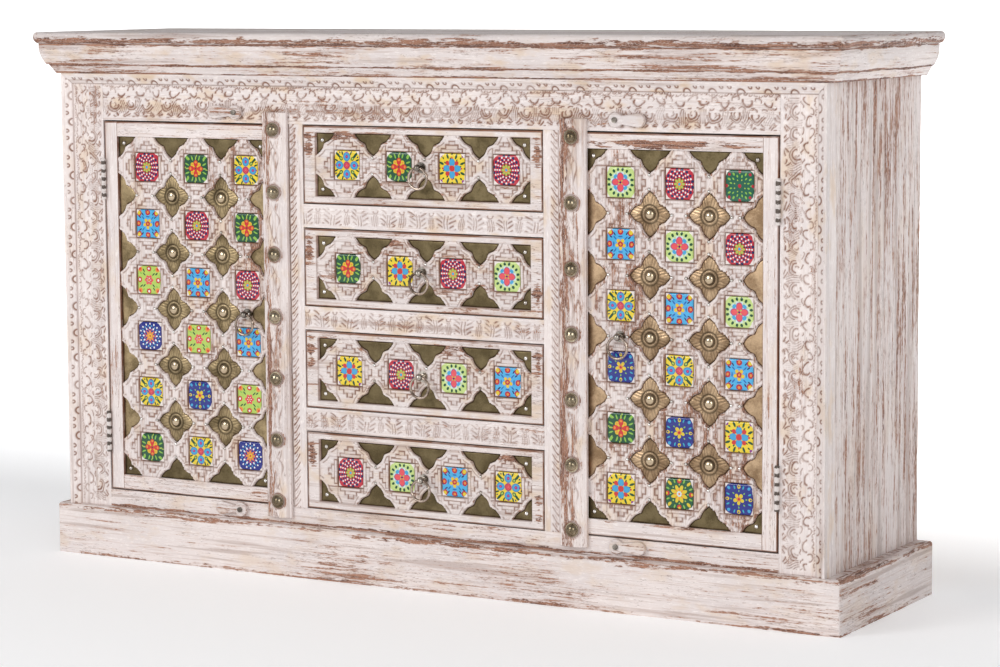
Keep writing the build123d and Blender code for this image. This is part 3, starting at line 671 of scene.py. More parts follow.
# grid lines from the outer edge inwards, close together where the marks are
across = np.concatenate([[0, 1.2, 2.4, 2.7, 3.5, 4.5, 5.5, 6.5, 7.3], np.linspace(8.0, 16.8, 12),
                         [17.4, STRIP_WIDTH]])
for name in ("left", "right", "top"):
    if name == "top":
        start = strip_low.x * 1000 + across
        end = strip_high.x * 1000 - across
        count = 1050
    else:
        start = np.full(len(across), strip_low.z * 1000)
        end = strip_high.z * 1000 - across
        count = 560
    s = start + (end - start) * np.linspace(0, 1, count)[:, None]
    wide = np.broadcast_to(across, s.shape)
    cut = gouge_marks(s, wide)
    y = face_y - (strip_section(wide) - cut) / 1000
    if name == "top":
        points = np.stack([s / 1000, y, strip_high.z - wide / 1000], axis=-1)
    else:
        outer = strip_low.x if name == "left" else strip_high.x
        inward = 1 if name == "left" else -1
        points = np.stack([outer + inward * wide / 1000, y, s / 1000], axis=-1)
    foot_line = bell(wide - STRIP_WIDTH, 1.3) * (0.9 if name == "top" else 0.45)
    groove = np.maximum(np.clip(cut / 1.4, 0, 1), foot_line)
    strip = closed_relief(f"border_strip_{name}", [(points, groove, 0 * groove)], face_y, "carcass",
                          strip_paint_lit_and_shaded[name])
    if name == "left":
        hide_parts("border_strips")


# ================================================================ lattice panels
# Each door panel and drawer front is cut as a lattice: a square pocket for every tile, ringed by
# stepped blocks, with smooth bands round the sunk places where the brass plates lie.

def petal_reach(angle):
    """Radius of the four-petal outline: 36 mm at the pointed tips and 23 mm at the waists between.

    Powers of the sine of twice the angle are taken off: a low one points the tips, a high one
    leaves the petals broad up to the waists.
    """
    turn = np.abs(np.sin(2 * angle))
    return 36.0 - 9.0 * turn ** 0.9 - 4.0 * turn ** 6


def nearest(values, places):
    """Offset from the nearest of some places, and which one it is."""
    offsets = values[..., None] - np.asarray(places)
    which = np.abs(offsets).argmin(axis=-1)
    return np.take_along_axis(offsets, which[..., None], -1)[..., 0], which


# half width, near edge and far edge of the blocks stacked on each side of a tile, from its middle
STEPS = [(20.0, 25.2, 31.6), (11.5, 31.6, 37.8), (5.2, 37.8, 43.6)]
JOINT_REACH = 43.0
# the square pockets of the tiles, and the depths of the pockets and of the places of the plates
POCKET_HALF, POCKET_DEPTH, SUNK_DEPTH = 24.6, 6.0, 5.0


def crisp_lines(low, high, middles, step):
    """Even grid lines from low to high, and three 0.7 mm apart on every joint about each middle."""
    marks = np.array(sorted({place for block in STEPS for place in block}))
    offsets = np.concatenate([-marks, marks])[:, None] + np.array([-0.7, 0.0, 0.7])
    crisp = (np.asarray(middles)[:, None] + offsets.ravel()).ravel()
    crisp = crisp[(crisp > low + 0.7) & (crisp < high - 0.7)]
    even = np.linspace(low, high, int((high - low) / step) + 1)[1:-1]
    even = even[np.abs(even[:, None] - crisp).min(axis=1) > 0.55 * step]
    lines = np.unique(np.concatenate([[low, high], even, crisp]))
    return lines[np.concatenate([[True], np.diff(lines) > 0.2])]


def lattice(x, z, columns, rows, plate_columns, plate_rows):
    """Height in millimetres above the panel, how much stain and painted shadow lies there, and how proud
    the edges are.

    A stack of blocks stands above, below and beside each tile, parted by narrow joints that run on
    past its corners; smooth bands follow the plates, and all inside their outline is 5 mm deep.
    """
    u, which_u = nearest(x, columns)
    v, which_v = nearest(z, rows)
    a, b = np.abs(u), np.abs(v)
    # a number from 0 to 1 for each stack of blocks, so that no two are the same
    seed = which_u * 12.9 + which_v * 78.2 + (u > 0) * 3.1 + (v > 0) * 7.7 + (a > b) * 5.3
    chance = np.mod(np.sin(seed) * 43.7, 1.0)
    height = np.full(x.shape, -0.6)
    groove = np.zeros(x.shape)
    for p, q in ((a, b), (b, a)):
        for number, (half, near, far) in enumerate(STEPS):
            inside = (p <= half) & (q >= near) & (q <= far)
            height[inside] = (0.9 - 0.9 * number + 0.7 * (chance - 0.5))[inside]
            groove[inside] = 0.03 + 0.06 * number
            across = np.maximum(np.abs(q - far), p - half)
            beside = np.maximum(np.abs(p - half), np.maximum(near - q, q - far))
            shown = np.mod(chance * (7 + 3 * number), 1.0)
            groove = np.maximum(groove, bell(across, 1.25) * (0.60 + 0.40 * (shown > 0.30)))
            groove = np.maximum(groove, bell(beside, 1.25) * (0.55 + 0.45 * (shown < 0.75)))
        foot = np.maximum(np.abs(q - STEPS[0][1]), p - JOINT_REACH)
        groove = np.maximum(groove, bell(foot, 1.1) * np.where(p < 26, 1.0, 0.45 + 0.5 * (chance > 0.4)))
    height = height - 1.2 * groove
    dx, _ = nearest(x, plate_columns)
    dz, _ = nearest(z, plate_rows)
    angle = np.arctan2(dz, dx)
    out = np.hypot(dx, dz) - petal_reach(angle) - 0.8
    width = 6.0 + 0.8 * np.sin(5 * angle + which_u + 2 * which_v)
    share = np.clip(out / width, 0, 1)
    on_band = (out > 0) & (out < width)
    height[on_band] = (1.3 * np.sqrt(np.clip(1 - (2 * share - 1) ** 2, 0, 1)) - 0.5)[on_band]
    groove[on_band] = 0.0
    groove = np.maximum(groove, 0.80 * bell(out - width, 1.0) * (np.sin(9 * angle + 3 * which_u) > -0.3))
    pocket = np.maximum(a, b) <= POCKET_HALF
    height[pocket] = -POCKET_DEPTH
    sunk = out <= 0
    height[sunk] = -SUNK_DEPTH
    _, ridge = hollows_and_ridges(np.clip(height, -3.0, 3.0), 3, 1.6)
    # the pockets and the sunk places are fully dark, so the narrow gaps round tiles and plates show
    # painted shadow
    groove[sunk | pocket] = 1.0
    return height, groove, 0.65 * ridge


def places(box, columns, rows, margin_left, margin_right, margin_ends):
    """Tile columns and rows in a lattice box (x0, x1, z0, z1), and those of the plates."""
    x0, x1, z0, z1 = box
    tile_x = np.linspace(x0 + margin_left, x1 - margin_right, columns)
    tile_z = np.array([(z0 + z1) / 2])
    if rows > 1:
        tile_z = np.linspace(z0 + margin_ends, z1 - margin_ends, rows)
    plate_x = np.concatenate([[x0], (tile_x[1:] + tile_x[:-1]) / 2, [x1]])
    plate_z = np.concatenate([[z0], (tile_z[1:] + tile_z[:-1]) / 2, [z1]])
    return tile_x, tile_z, plate_x, plate_z


def relief_points(x, z, face_y, height):
    """Points in metres in front of the plane y = face_y, from x, z and height in millimetres."""
    return np.stack([x / 1000, face_y - height / 1000, z / 1000], axis=-1)


fields = {}
for side in ("left", "right"):
    low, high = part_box(f"{side}_door_panel")
    box = (low.x * 1000, high.x * 1000, low.z * 1000, high.z * 1000)
    layout = places(box, columns=3, rows=6, margin_left=60.0, margin_right=41.0, margin_ends=52.0)
    fields[f"{side}_door"] = (box, layout)
    paint = whitewash(f"{side}_lattice_paint", "z", wear=0.30 if side == "left" else 0.34, stain=0.8,
                      tone=1.0, carved=True, shift=(low.x, 0.3, 0), patchy=0.42)
    x, z = np.meshgrid(crisp_lines(*box[:2], layout[0], 1.8), crisp_lines(*box[2:], layout[1], 1.8))
    height, groove, ridge = lattice(x, z, *layout)
    sheet = (relief_points(x, z, low.y, height), groove, ridge)
    panel = closed_relief(f"{side}_door_lattice", [sheet], high.y, f"{side}_door", paint)
    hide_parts(f"{side}_door_panel")

# plain border of a drawer front beside and above its lattice, and how far the border stands out
SIDE_MARGIN, END_MARGIN, BORDER_HEIGHT = 23, 12, 2.0
drawer_names = [f"drawer_{number}" for number in (1, 2, 3, 4)]
for number, drawer in enumerate(drawer_names):
    low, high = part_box(f"{drawer}_front")
    box = (low.x * 1000 + SIDE_MARGIN, high.x * 1000 - SIDE_MARGIN,
           low.z * 1000 + END_MARGIN, high.z * 1000 - END_MARGIN)
    layout = places(box, columns=4, rows=1, margin_left=60.0, margin_right=44.5, margin_ends=0.0)
    fields[drawer] = (box, layout)
    upper, lower = high.z - 0.035, low.z + 0.035
    worn = [((low.x + 0.009, low.y, upper), (0.010, 0.02, 0.028), 1.0),
            ((high.x - 0.009, low.y, upper if number % 2 == 0 else lower), (0.010, 0.02, 0.032), 1.1),
            ((-0.165 + 0.11 * number, low.y, high.z - 0.016), (0.04, 0.02, 0.007), 0.9)]
    paint = whitewash(f"{drawer}_lattice_paint", "x", wear=0.38, stain=0.8, tone=0.96, carved=True,
                      shift=(0.1 * number, 0.3, 0.2), patches=worn)
    x, z = np.meshgrid(crisp_lines(low.x * 1000, high.x * 1000, layout[0], 1.2),
                       crisp_lines(low.z * 1000, high.z * 1000, layout[1], 1.2))
    height, groove, ridge = lattice(x, z, *layout)
    inside = np.minimum(np.minimum(x - box[0], box[1] - x), np.minimum(z - box[2], box[3] - z))
    border = inside <= 0
    height = np.where(border, BORDER_HEIGHT, height)
    # painted shadow of the gap round the front: its outermost strip is dark, a little wider along the top
    from_sides = np.minimum(x - low.x * 1000, high.x * 1000 - x)
    from_ends = np.minimum(z - low.z * 1000, high.z * 1000 - z - 0.9)
    outline = np.minimum(from_sides, from_ends)
    groove = np.where(border, np.maximum(0.7 * bell(inside, 1.1), outline < 1.7), groove)
    points = relief_points(x, z, low.y, height - BORDER_HEIGHT)
    sheet = (points, groove, np.where(border, 0, ridge))
    front = closed_relief(f"{drawer}_lattice", [sheet], high.y, drawer, paint)
    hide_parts(f"{drawer}_front")


# ================================================================ painted tiles
# Square glazed tiles with hand-painted flowers and round patterns, bedded in the lattice.
# The glaze is glossy; wall paint has run over some corners.

def hypotenuse(tree, a, b):
    """Root of the sum of two squares."""
    return maths(tree, "SQRT", maths(tree, "MULTIPLY_ADD", a, a, maths(tree, "MULTIPLY", b, b)))


tree, given, result = new_group(
    "painted_ring",
    [("Vector", "Place", None), ("Float", "Count", 8.0), ("Float", "Turn", 0.0), ("Float", "Radius", 0.5),
     ("Float", "Length", 0.1), ("Float", "Width", 0.1)],
    [("Float", "Mask")])
# the plane is cut into equal sectors, and a spot lies at the same place in each
parts = split(tree, given["Place"])
radius = hypotenuse(tree, parts[0], parts[1])
angle = maths(tree, "ADD", maths(tree, "ARCTAN2", parts[1], parts[0]), given["Turn"])
sector = maths(tree, "DIVIDE", 2 * math.pi, given["Count"])
half_sector = maths(tree, "MULTIPLY", sector, 0.5)
within = maths(tree, "FLOORED_MODULO", maths(tree, "ADD", angle, half_sector), sector)
folded = maths(tree, "SUBTRACT", within, half_sector)
from_middle = maths(tree, "MULTIPLY", radius, maths(tree, "COSINE", folded))
sideways = maths(tree, "MULTIPLY", radius, maths(tree, "SINE", folded))
outward = maths(tree, "SUBTRACT", from_middle, given["Radius"])
spot = hypotenuse(tree, maths(tree, "DIVIDE", outward, given["Length"]),
                  maths(tree, "DIVIDE", sideways, given["Width"]))
tree.links.new(ramp(tree, spot, 1.12, 0.88), result["Mask"])
ring_group = tree

CRIMSON, NAVY, WHITE = (0.43, 0.020, 0.038), (0.014, 0.022, 0.10), (0.80, 0.80, 0.79)
YELLOW, GREEN, RED = (0.70, 0.53, 0.030), (0.010, 0.070, 0.030), (0.58, 0.035, 0.03)
ORANGE, TEAL, PURPLE = (0.74, 0.25, 0.04), (0.04, 0.38, 0.50), (0.24, 0.03, 0.24)
LEAF, CORAL, PALE = (0.24, 0.48, 0.07), (0.74, 0.085, 0.10), (0.60, 0.72, 0.82)
SKY, LIME, PINK = (0.055, 0.35, 0.62), (0.38, 0.52, 0.09), (0.68, 0.10, 0.14)
BLUE, ROYAL, BOTTLE = (0.02, 0.13, 0.42), (0.012, 0.020, 0.19), (0.010, 0.080, 0.032)
OLIVE, PISTACHIO, EMERALD = (0.50, 0.62, 0.30), (0.46, 0.58, 0.20), (0.012, 0.095, 0.055)
# each ring: count, turn in degrees, radius, length, width (shares of half a tile), colour
designs = {
    "crimson_rosette": (CRIMSON, [
        (16, 11, 0.95, 0.09, 0.10, NAVY), (16, 0, 0.88, 0.06, 0.06, WHITE),
        (14, 13, 0.72, 0.09, 0.07, NAVY), (14, 0, 0.70, 0.06, 0.05, WHITE),
        (12, 15, 0.54, 0.07, 0.06, NAVY), (12, 0, 0.51, 0.06, 0.05, WHITE),
        (8, 22, 0.38, 0.06, 0.06, GREEN), (8, 0, 0.26, 0.12, 0.08, LIME), (1, 0, 0.0, 0.17, 0.17, ORANGE),
        (1, 0, 0.0, 0.10, 0.10, SKY)]),
    "green_flower": (GREEN, [
        (8, 22, 0.80, 0.18, 0.055, LEAF), (8, 5, 0.92, 0.09, 0.04, LIME), (4, 45, 1.07, 0.22, 0.09, LEAF),
        (4, 0, 0.74, 0.14, 0.05, LIME), (4, 45, 0.35, 0.21, 0.18, YELLOW),
        (4, 45, 0.42, 0.08, 0.06, ORANGE), (4, 0, 0.37, 0.24, 0.19, RED),
        (4, 0, 0.46, 0.08, 0.10, ORANGE), (1, 0, 0.0, 0.16, 0.16, RED), (1, 0, 0.0, 0.06, 0.06, GREEN)]),
    "yellow_four_flowers": (YELLOW, [
        (4, 45, 0.98, 0.30, 0.09, GREEN), (4, 45, 0.66, 0.16, 0.13, GREEN),
        (4, 45, 0.66, 0.09, 0.07, LIME), (8, 22, 0.92, 0.15, 0.06, GREEN),
        (8, 12, 1.04, 0.07, 0.05, NAVY), (4, 0, 0.60, 0.32, 0.29, BLUE), (4, 0, 0.60, 0.27, 0.24, SKY),
        (4, 0, 0.60, 0.12, 0.11, PURPLE), (4, 0, 0.60, 0.05, 0.05, CORAL),
        (4, 0, 0.88, 0.07, 0.07, PURPLE), (1, 0, 0.0, 0.27, 0.27, PURPLE), (1, 0, 0.0, 0.22, 0.22, RED),
        (8, 0, 0.14, 0.04, 0.03, PINK), (1, 0, 0.0, 0.08, 0.08, PINK)]),
    "sky_floral": (SKY, [
        (4, 45, 0.58, 0.16, 0.05, BLUE), (4, 0, 0.50, 0.05, 0.17, BLUE), (8, 11, 0.80, 0.14, 0.05, NAVY),
        (8, 34, 0.86, 0.13, 0.05, NAVY), (4, 0, 0.80, 0.19, 0.21, CRIMSON),
        (4, 0, 0.82, 0.09, 0.10, ORANGE), (4, 45, 1.06, 0.22, 0.21, CRIMSON),
        (4, 45, 1.10, 0.15, 0.14, YELLOW), (5, 18, 0.25, 0.15, 0.13, ORANGE),
        (5, 18, 0.26, 0.12, 0.10, YELLOW), (1, 0, 0.0, 0.18, 0.18, CRIMSON),
        (1, 0, 0.0, 0.08, 0.08, ORANGE)]),
    "lime_floral": (LIME, [
        (4, 45, 0.58, 0.15, 0.05, GREEN), (8, 11, 0.80, 0.14, 0.05, GREEN),
        (8, 34, 0.86, 0.12, 0.05, LEAF), (4, 0, 0.80, 0.18, 0.19, RED), (4, 0, 0.82, 0.08, 0.09, WHITE),
        (4, 45, 1.08, 0.20, 0.19, ORANGE), (4, 45, 1.12, 0.09, 0.09, RED),
        (6, 0, 0.24, 0.14, 0.12, CORAL), (1, 0, 0.0, 0.24, 0.24, RED), (6, 0, 0.15, 0.05, 0.03, WHITE),
        (1, 0, 0.0, 0.08, 0.08, ORANGE)]),
    "navy_rosette": (ROYAL, [
        (16, 0, 0.88, 0.07, 0.06, WHITE), (16, 11, 0.74, 0.06, 0.05, SKY),
        (12, 0, 0.58, 0.09, 0.06, WHITE), (12, 15, 0.46, 0.06, 0.04, CORAL),
        (8, 0, 0.27, 0.13, 0.09, ORANGE), (1, 0, 0.0, 0.16, 0.16, YELLOW), (1, 0, 0.0, 0.08, 0.08, RED)]),
    "royal_flower": (ROYAL, [
        (8, 22, 0.84, 0.12, 0.05, TEAL), (4, 45, 1.02, 0.12, 0.10, SKY), (4, 0, 0.82, 0.13, 0.11, YELLOW),
        (4, 0, 0.85, 0.06, 0.05, ROYAL), (8, 0, 0.54, 0.07, 0.04, LEAF),
        (5, 18, 0.25, 0.15, 0.12, YELLOW), (1, 0, 0.0, 0.16, 0.16, ORANGE),
        (1, 0, 0.0, 0.09, 0.09, CRIMSON)]),
    "pink_quatrefoil": (PISTACHIO, [
        (1, 0, 0.0, 0.70, 0.70, PALE), (16, 11, 0.86, 0.12, 0.09, GREEN),
        (12, 0, 0.62, 0.10, 0.08, OLIVE), (4, 45, 0.52, 0.12, 0.16, SKY),
        (4, 0, 0.35, 0.29, 0.24, PURPLE), (4, 0, 0.34, 0.25, 0.20, CORAL), (1, 0, 0.0, 0.22, 0.22, CORAL),
        (4, 45, 0.15, 0.07, 0.04, LIME), (1, 0, 0.0, 0.07, 0.07, NAVY)]),
    "green_buds": (EMERALD, [
        (12, 0, 0.86, 0.11, 0.06, LEAF), (12, 15, 0.64, 0.09, 0.05, LEAF),
        (4, 0, 0.92, 0.11, 0.10, CRIMSON), (4, 45, 1.04, 0.10, 0.10, CRIMSON),
        (8, 22, 0.40, 0.05, 0.04, LIME), (1, 0, 0.0, 0.12, 0.12, CRIMSON)]),
    "yellow_blue_cross": (YELLOW, [
        (8, 22, 0.88, 0.19, 0.08, GREEN), (8, 0, 0.98, 0.09, 0.06, GREEN),
        (4, 45, 1.22, 0.12, 0.12, PURPLE), (8, 34, 0.66, 0.09, 0.05, GREEN),
        (4, 45, 0.50, 0.17, 0.15, RED), (4, 0, 0.40, 0.29, 0.23, BLUE), (4, 0, 0.40, 0.26, 0.20, SKY),
        (4, 0, 0.72, 0.08, 0.06, RED), (1, 0, 0.0, 0.21, 0.21, RED)]),
    "green_daisy": (BOTTLE, [
        (8, 22, 0.90, 0.13, 0.06, LEAF), (4, 0, 0.86, 0.15, 0.15, RED), (4, 0, 0.92, 0.08, 0.09, YELLOW),
        (4, 45, 0.98, 0.17, 0.10, YELLOW), (8, 0, 0.62, 0.06, 0.05, LIME),
        (8, 22, 0.38, 0.24, 0.12, YELLOW), (8, 0, 0.30, 0.10, 0.05, ORANGE),
        (1, 0, 0.0, 0.17, 0.17, PALE), (1, 0, 0.0, 0.08, 0.08, ORANGE)]),
}


def tile_glaze(name, ground, rings):
    """Glazed tile with rings of painted spots, read from the tile's own UV map."""
    made, tree, shader = new_material(name, 0.32, 0.35)
    shader.inputs["Coat Roughness"].default_value = 0.08
    uv = add_node(tree, "ShaderNodeUVMap", {"uv_map": "tile"}).outputs[0]
    where = object_place(tree)
    # the hand that painted the rings shook a little
    shake = 0.07
    wavy = add_node(tree, "ShaderNodeTexNoise", None, Vector=where, Scale=140.0, Detail=1.0).outputs[1]
    drift = vectors(tree, "MULTIPLY_ADD", wavy, (shake, shake, 0), uv)
    centred = vectors(tree, "SUBTRACT", drift, (shake / 2, shake / 2, 0))
    thin_ground = [min(1, share * 1.25 + 0.01) for share in ground]
    colour = blend(tree, noise(tree, where, 90.0), (*ground, 1), (*thin_ground, 1))
    for count, turned, radius, length, width, paint in rings:
        ring = add_node(tree, "ShaderNodeGroup", {"node_tree": ring_group}, Place=centred,
                        Count=float(count), Turn=math.radians(turned), Radius=radius, Length=length,
                        Width=width)
        colour = blend(tree, ring.outputs[0], colour, (*paint, 1))
    # wall paint lies over the corners, up to a ragged line
    across, up = (maths(tree, "POWER", maths(tree, "ABSOLUTE", part), 3.4)
                  for part in split(tree, uv)[:2])
    corner = total(tree, (across, 1.0), (up, 0.9), (noise(tree, where, 45.0, 4.0, 0.6), 1.5))
    smear = ramp(tree, corner, 1.80, 1.92)
    colour = blend(tree, smear, colour, (0.80, 0.73, 0.69, 1))
    gloss = ramp(tree, smear, 0, 1, 0.16, 0.6)
    finish_surface(tree, shader, colour, gloss, noise(tree, where, 120.0), 0.0002)
    return made


glazes = {name: tile_glaze(name, *design) for name, design in designs.items()}
# the design of each tile, by rows from the top, each from left to right
layouts = {
    "left_door": [
        "crimson_rosette green_flower yellow_four_flowers",
        "sky_floral crimson_rosette green_flower",
        "lime_floral sky_floral crimson_rosette",
        "navy_rosette lime_floral sky_floral",
        "yellow_four_flowers royal_flower lime_floral",
        "green_flower yellow_four_flowers navy_rosette"],
    "right_door": [
        "pink_quatrefoil crimson_rosette green_buds",
        "sky_floral pink_quatrefoil crimson_rosette",
        "yellow_four_flowers sky_floral pink_quatrefoil",
        "royal_flower yellow_four_flowers sky_floral",
        "green_flower royal_flower yellow_blue_cross",
        "yellow_blue_cross green_daisy royal_flower"],
    "drawer_1": [
        "yellow_four_flowers green_flower yellow_blue_cross crimson_rosette"],
    "drawer_2": [
        "green_flower yellow_blue_cross crimson_rosette pink_quatrefoil"],
    "drawer_3": [
        "yellow_blue_cross crimson_rosette pink_quatrefoil sky_floral"],
    "drawer_4": [
        "crimson_rosette pink_quatrefoil sky_floral yellow_four_flowers"],
}
TILE_HALF = 24.0


def tile_grid():
    """x, z and height of the points of one tile, in millimetres, on a square grid.

    The face is a shallow crown, 5 mm thick, whose edge drops by the square of the way over the last
    1.8 mm. The lines crowd towards the edge; the outermost pair is the wall down to the seat.
    """
    half_line = np.array([8, 16, 21.5, 23, 23.7, TILE_HALF, TILE_HALF])
    line = np.concatenate([-half_line[::-1], [0], half_line])
    x, z = np.meshgrid(line, line)
    reach = np.maximum(np.abs(x), np.abs(z))
    height = 5.0 - 1.2 * np.clip((reach - 22.2) / 1.8, 0, 1) ** 2 - 0.3 * (reach / TILE_HALF) ** 2
    outermost = np.ones(x.shape, bool)
    outermost[1:-1, 1:-1] = False
    height[outermost] = 0.0
    return x, z, height


tile_x, tile_z, tile_height = tile_grid()
per_tile, per_row = tile_x.size, len(tile_x)
# the last face is the back, between the four corners
back_face = [[0, per_row - 1, per_tile - 1, per_tile - per_row]]
tile_faces = np.concatenate([grid_faces(*tile_x.shape), back_face])
for body, rows in layouts.items():
    columns, levels = fields[body][1][:2]
    seat_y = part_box(f"{body}_tiles")[1].y
    kinds = sorted({kind for row in rows for kind in row.split()})
    vertices, faces, uvs, which = [], [], [], []
    for row, level in zip(rows, levels[::-1]):
        for column, kind in zip(columns, row.split()):
            first = len(vertices) * per_tile
            points = relief_points(column + tile_x, level + tile_z, seat_y, tile_height)
            vertices.append(points.reshape(-1, 3))
            faces.append(tile_faces + first)
            uvs.append(np.stack([tile_x, tile_z], axis=-1).reshape(-1, 2) / TILE_HALF)
            which += [kinds.index(kind)] * len(tile_faces)
    faces, uvs = np.concatenate(faces), np.concatenate(uvs)
    tiles = new_mesh(f"{body}_painted_tiles", np.concatenate(vertices), faces)
    for kind in kinds:
        tiles.data.materials.append(glazes[kind])
    tiles.data.polygons.foreach_set("material_index", which)
    uv_map = tiles.data.uv_layers.new(name="tile")
    uv_map.data.foreach_set("uv", uvs[faces.ravel()].ravel())
    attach(tiles, body)
    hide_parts(f"{body}_tiles")


# ================================================================ brass plates, pulls and nails
# Plates pressed from thin brass sheet: four veined petals, with a beaded collar and a domed boss
# in the whole ones. Round nail heads hold them at the petal tips and in the corners.

tree, given, result = new_group(
    "worn_metal",
    [("Vector", "Place", None), ("Color", "Bright", (0.6, 0.5, 0.3, 1)),
     ("Color", "Dark", (0.2, 0.15, 0.08, 1)), ("Float", "Age", 0.5), ("Float", "Groove", 0.0)],
    [("Color", "Colour"), ("Float", "Roughness"), ("Float", "Height")])
broad = noise(tree, given["Place"], 34.0, 4.0, 0.6)
fine = noise(tree, given["Place"], 420.0, 2.0, 0.6)
aged = ramp(tree, total(tree, (broad, 0.8), (fine, 0.2), (given["Age"], 0.3)), 0.48, 0.80)
mixed = blend(tree, aged, given["Bright"], given["Dark"])
tarnish = maths(tree, "MULTIPLY", given["Groove"], 0.85)
# the second colour lightens the boss: rubbed brass, and a painted highlight
TARNISH, RUBBED_BRASS_AND_HIGHLIGHT = (0.045, 0.032, 0.018, 1), (0.60, 0.48, 0.33, 1)
tree.links.new(blend(tree, tarnish, mixed, TARNISH), result["Colour"])
tree.links.new(total(tree, (aged, 0.16), (fine, 0.14), (tarnish, 0.2)), result["Roughness"])
tree.links.new(total(tree, (fine, 0.6), (broad, 0.8)), result["Height"])
metal_group = tree


def metal(name, bright, dark, age, gloss=0.26, pressed=False, beyond=None):
    """Worn metal of two tones; age is how much of the dark one shows, gloss the least roughness.

    beyond is (axis, place, second bright, second dark): another pair of tones past that distance
    from the middle of the cabinet. pressed reads the mesh's values: tarnish in its grooves, and
    where its ridge value is high a lighter, smoother finish: rubbed brass with a painted highlight.
    """
    made, tree, shader = new_material(name)
    shader.inputs["Metallic"].default_value = 1.0
    place = object_place(tree)
    tones = [(*bright, 1), (*dark, 1)]
    if beyond:
        axis, limit, *others = beyond
        past = maths(tree, "GREATER_THAN", off_plane(tree, split(tree, place), axis, 0.0), limit)
        tones = [blend(tree, past, tone, (*other, 1)) for tone, other in zip(tones, others)]
    wear = add_node(tree, "ShaderNodeGroup", {"node_tree": metal_group}, Place=place, Bright=tones[0],
                    Dark=tones[1], Age=age)
    colour = wear.outputs["Colour"]
    roughness = maths(tree, "ADD", wear.outputs["Roughness"], gloss)
    if pressed:
        # where the ridge value is high the colour is lighter and smoother: rubbed brass, and a painted
        # highlight on the boss
        polish_and_highlight = mesh_value(tree, "ridge")
        tree.links.new(mesh_value(tree, "groove"), wear.inputs["Groove"])
        colour = blend(tree, polish_and_highlight, colour, RUBBED_BRASS_AND_HIGHLIGHT)
        roughness = maths(tree, "MULTIPLY_ADD", polish_and_highlight, -0.27, roughness)
    finish_surface(tree, shader, colour, roughness, wear.outputs["Height"], 0.0003)
    return made


STEEL_BRIGHT, STEEL_DARK = (0.56, 0.51, 0.45), (0.10, 0.083, 0.07)
# the steel posts of the pulls are in the same nodes as the brass plates or the studs, and lie
# further forward than the plates, or further out than the studs
PLATE_FRONT, STUD_SIDE = 0.1565, 0.31
olive_brass = metal("olive_brass", (0.47, 0.355, 0.20), (0.17, 0.125, 0.065), age=0.5, pressed=True)
dull_brass = metal("dull_brass", (0.20, 0.155, 0.082), (0.11, 0.083, 0.042), age=0.5, gloss=0.34,
                   pressed=True)
golden_brass = metal("golden_brass", (0.60, 0.425, 0.265), (0.27, 0.175, 0.10), age=0.5, pressed=True)
drawer_brass = metal("drawer_brass_and_post", (0.20, 0.16, 0.082), (0.11, 0.085, 0.042), age=0.4,
                     gloss=0.06, beyond=("Y", PLATE_FRONT, STEEL_BRIGHT, STEEL_DARK))
stud_metal = metal("stud_brass_and_post", (0.54, 0.46, 0.33), (0.15, 0.115, 0.07), age=0.5, gloss=0.04,
                   beyond=("X", STUD_SIDE, STEEL_BRIGHT, STEEL_DARK))
ring_metal = metal("ring_metal", (0.60, 0.49, 0.41), (0.11, 0.075, 0.055), age=0.5, gloss=0.08)
nail_metal = metal("nail_metal", (0.85, 0.83, 0.80), (0.30, 0.25, 0.20), age=0.30, gloss=0.06)
dark_metal = metal("dark_metal", STEEL_BRIGHT, STEEL_DARK, age=0.6)


def nail_heads(name, body, places, foot_y, radius, height):
    """Round nail heads at (x, z) places in millimetres, each a quarter ellipse turned about its axis."""
    around = 12
    rise = np.array([0.0, 0.4, 0.75])[:, None] * math.pi / 2
    turned = np.arange(around) / around * 2 * math.pi
    r, out = radius * np.cos(rise), height * np.sin(rise)
    rings = np.stack([r * np.cos(turned), out + 0 * turned, r * np.sin(turned)], axis=-1)
    head = np.concatenate([rings.reshape(-1, 3), [[0, height, 0]]])
    index = np.arange(3 * around).reshape(3, around)
    after = np.roll(index, -1, axis=1)
    sides = np.stack([index[:-1], after[:-1], after[1:], index[1:]], axis=-1).reshape(-1, 4)
    crown = np.stack([index[2], after[2], np.full(around, 3 * around)], axis=1)
    places = np.asarray(places, float)
    first = np.arange(len(places))[:, None, None] * len(head)
    points = head + np.stack([places[:, 0], 0 * places[:, 0], places[:, 1]], axis=1)[:, None]
    points = points * (0.001, -0.001, 0.001) + (0, foot_y, 0)
    obj = new_mesh(name, points.reshape(-1, 3), (sides + first).reshape(-1, 4),
                   (crown + first).reshape(-1, 3), (index[:1, ::-1] + first).reshape(-1, around))
    obj.data.materials.append(nail_metal)
    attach(obj, body)


# radii of the domed boss and of the beaded collar round it, in millimetres
BOSS, COLLAR = 8.4, 15.0


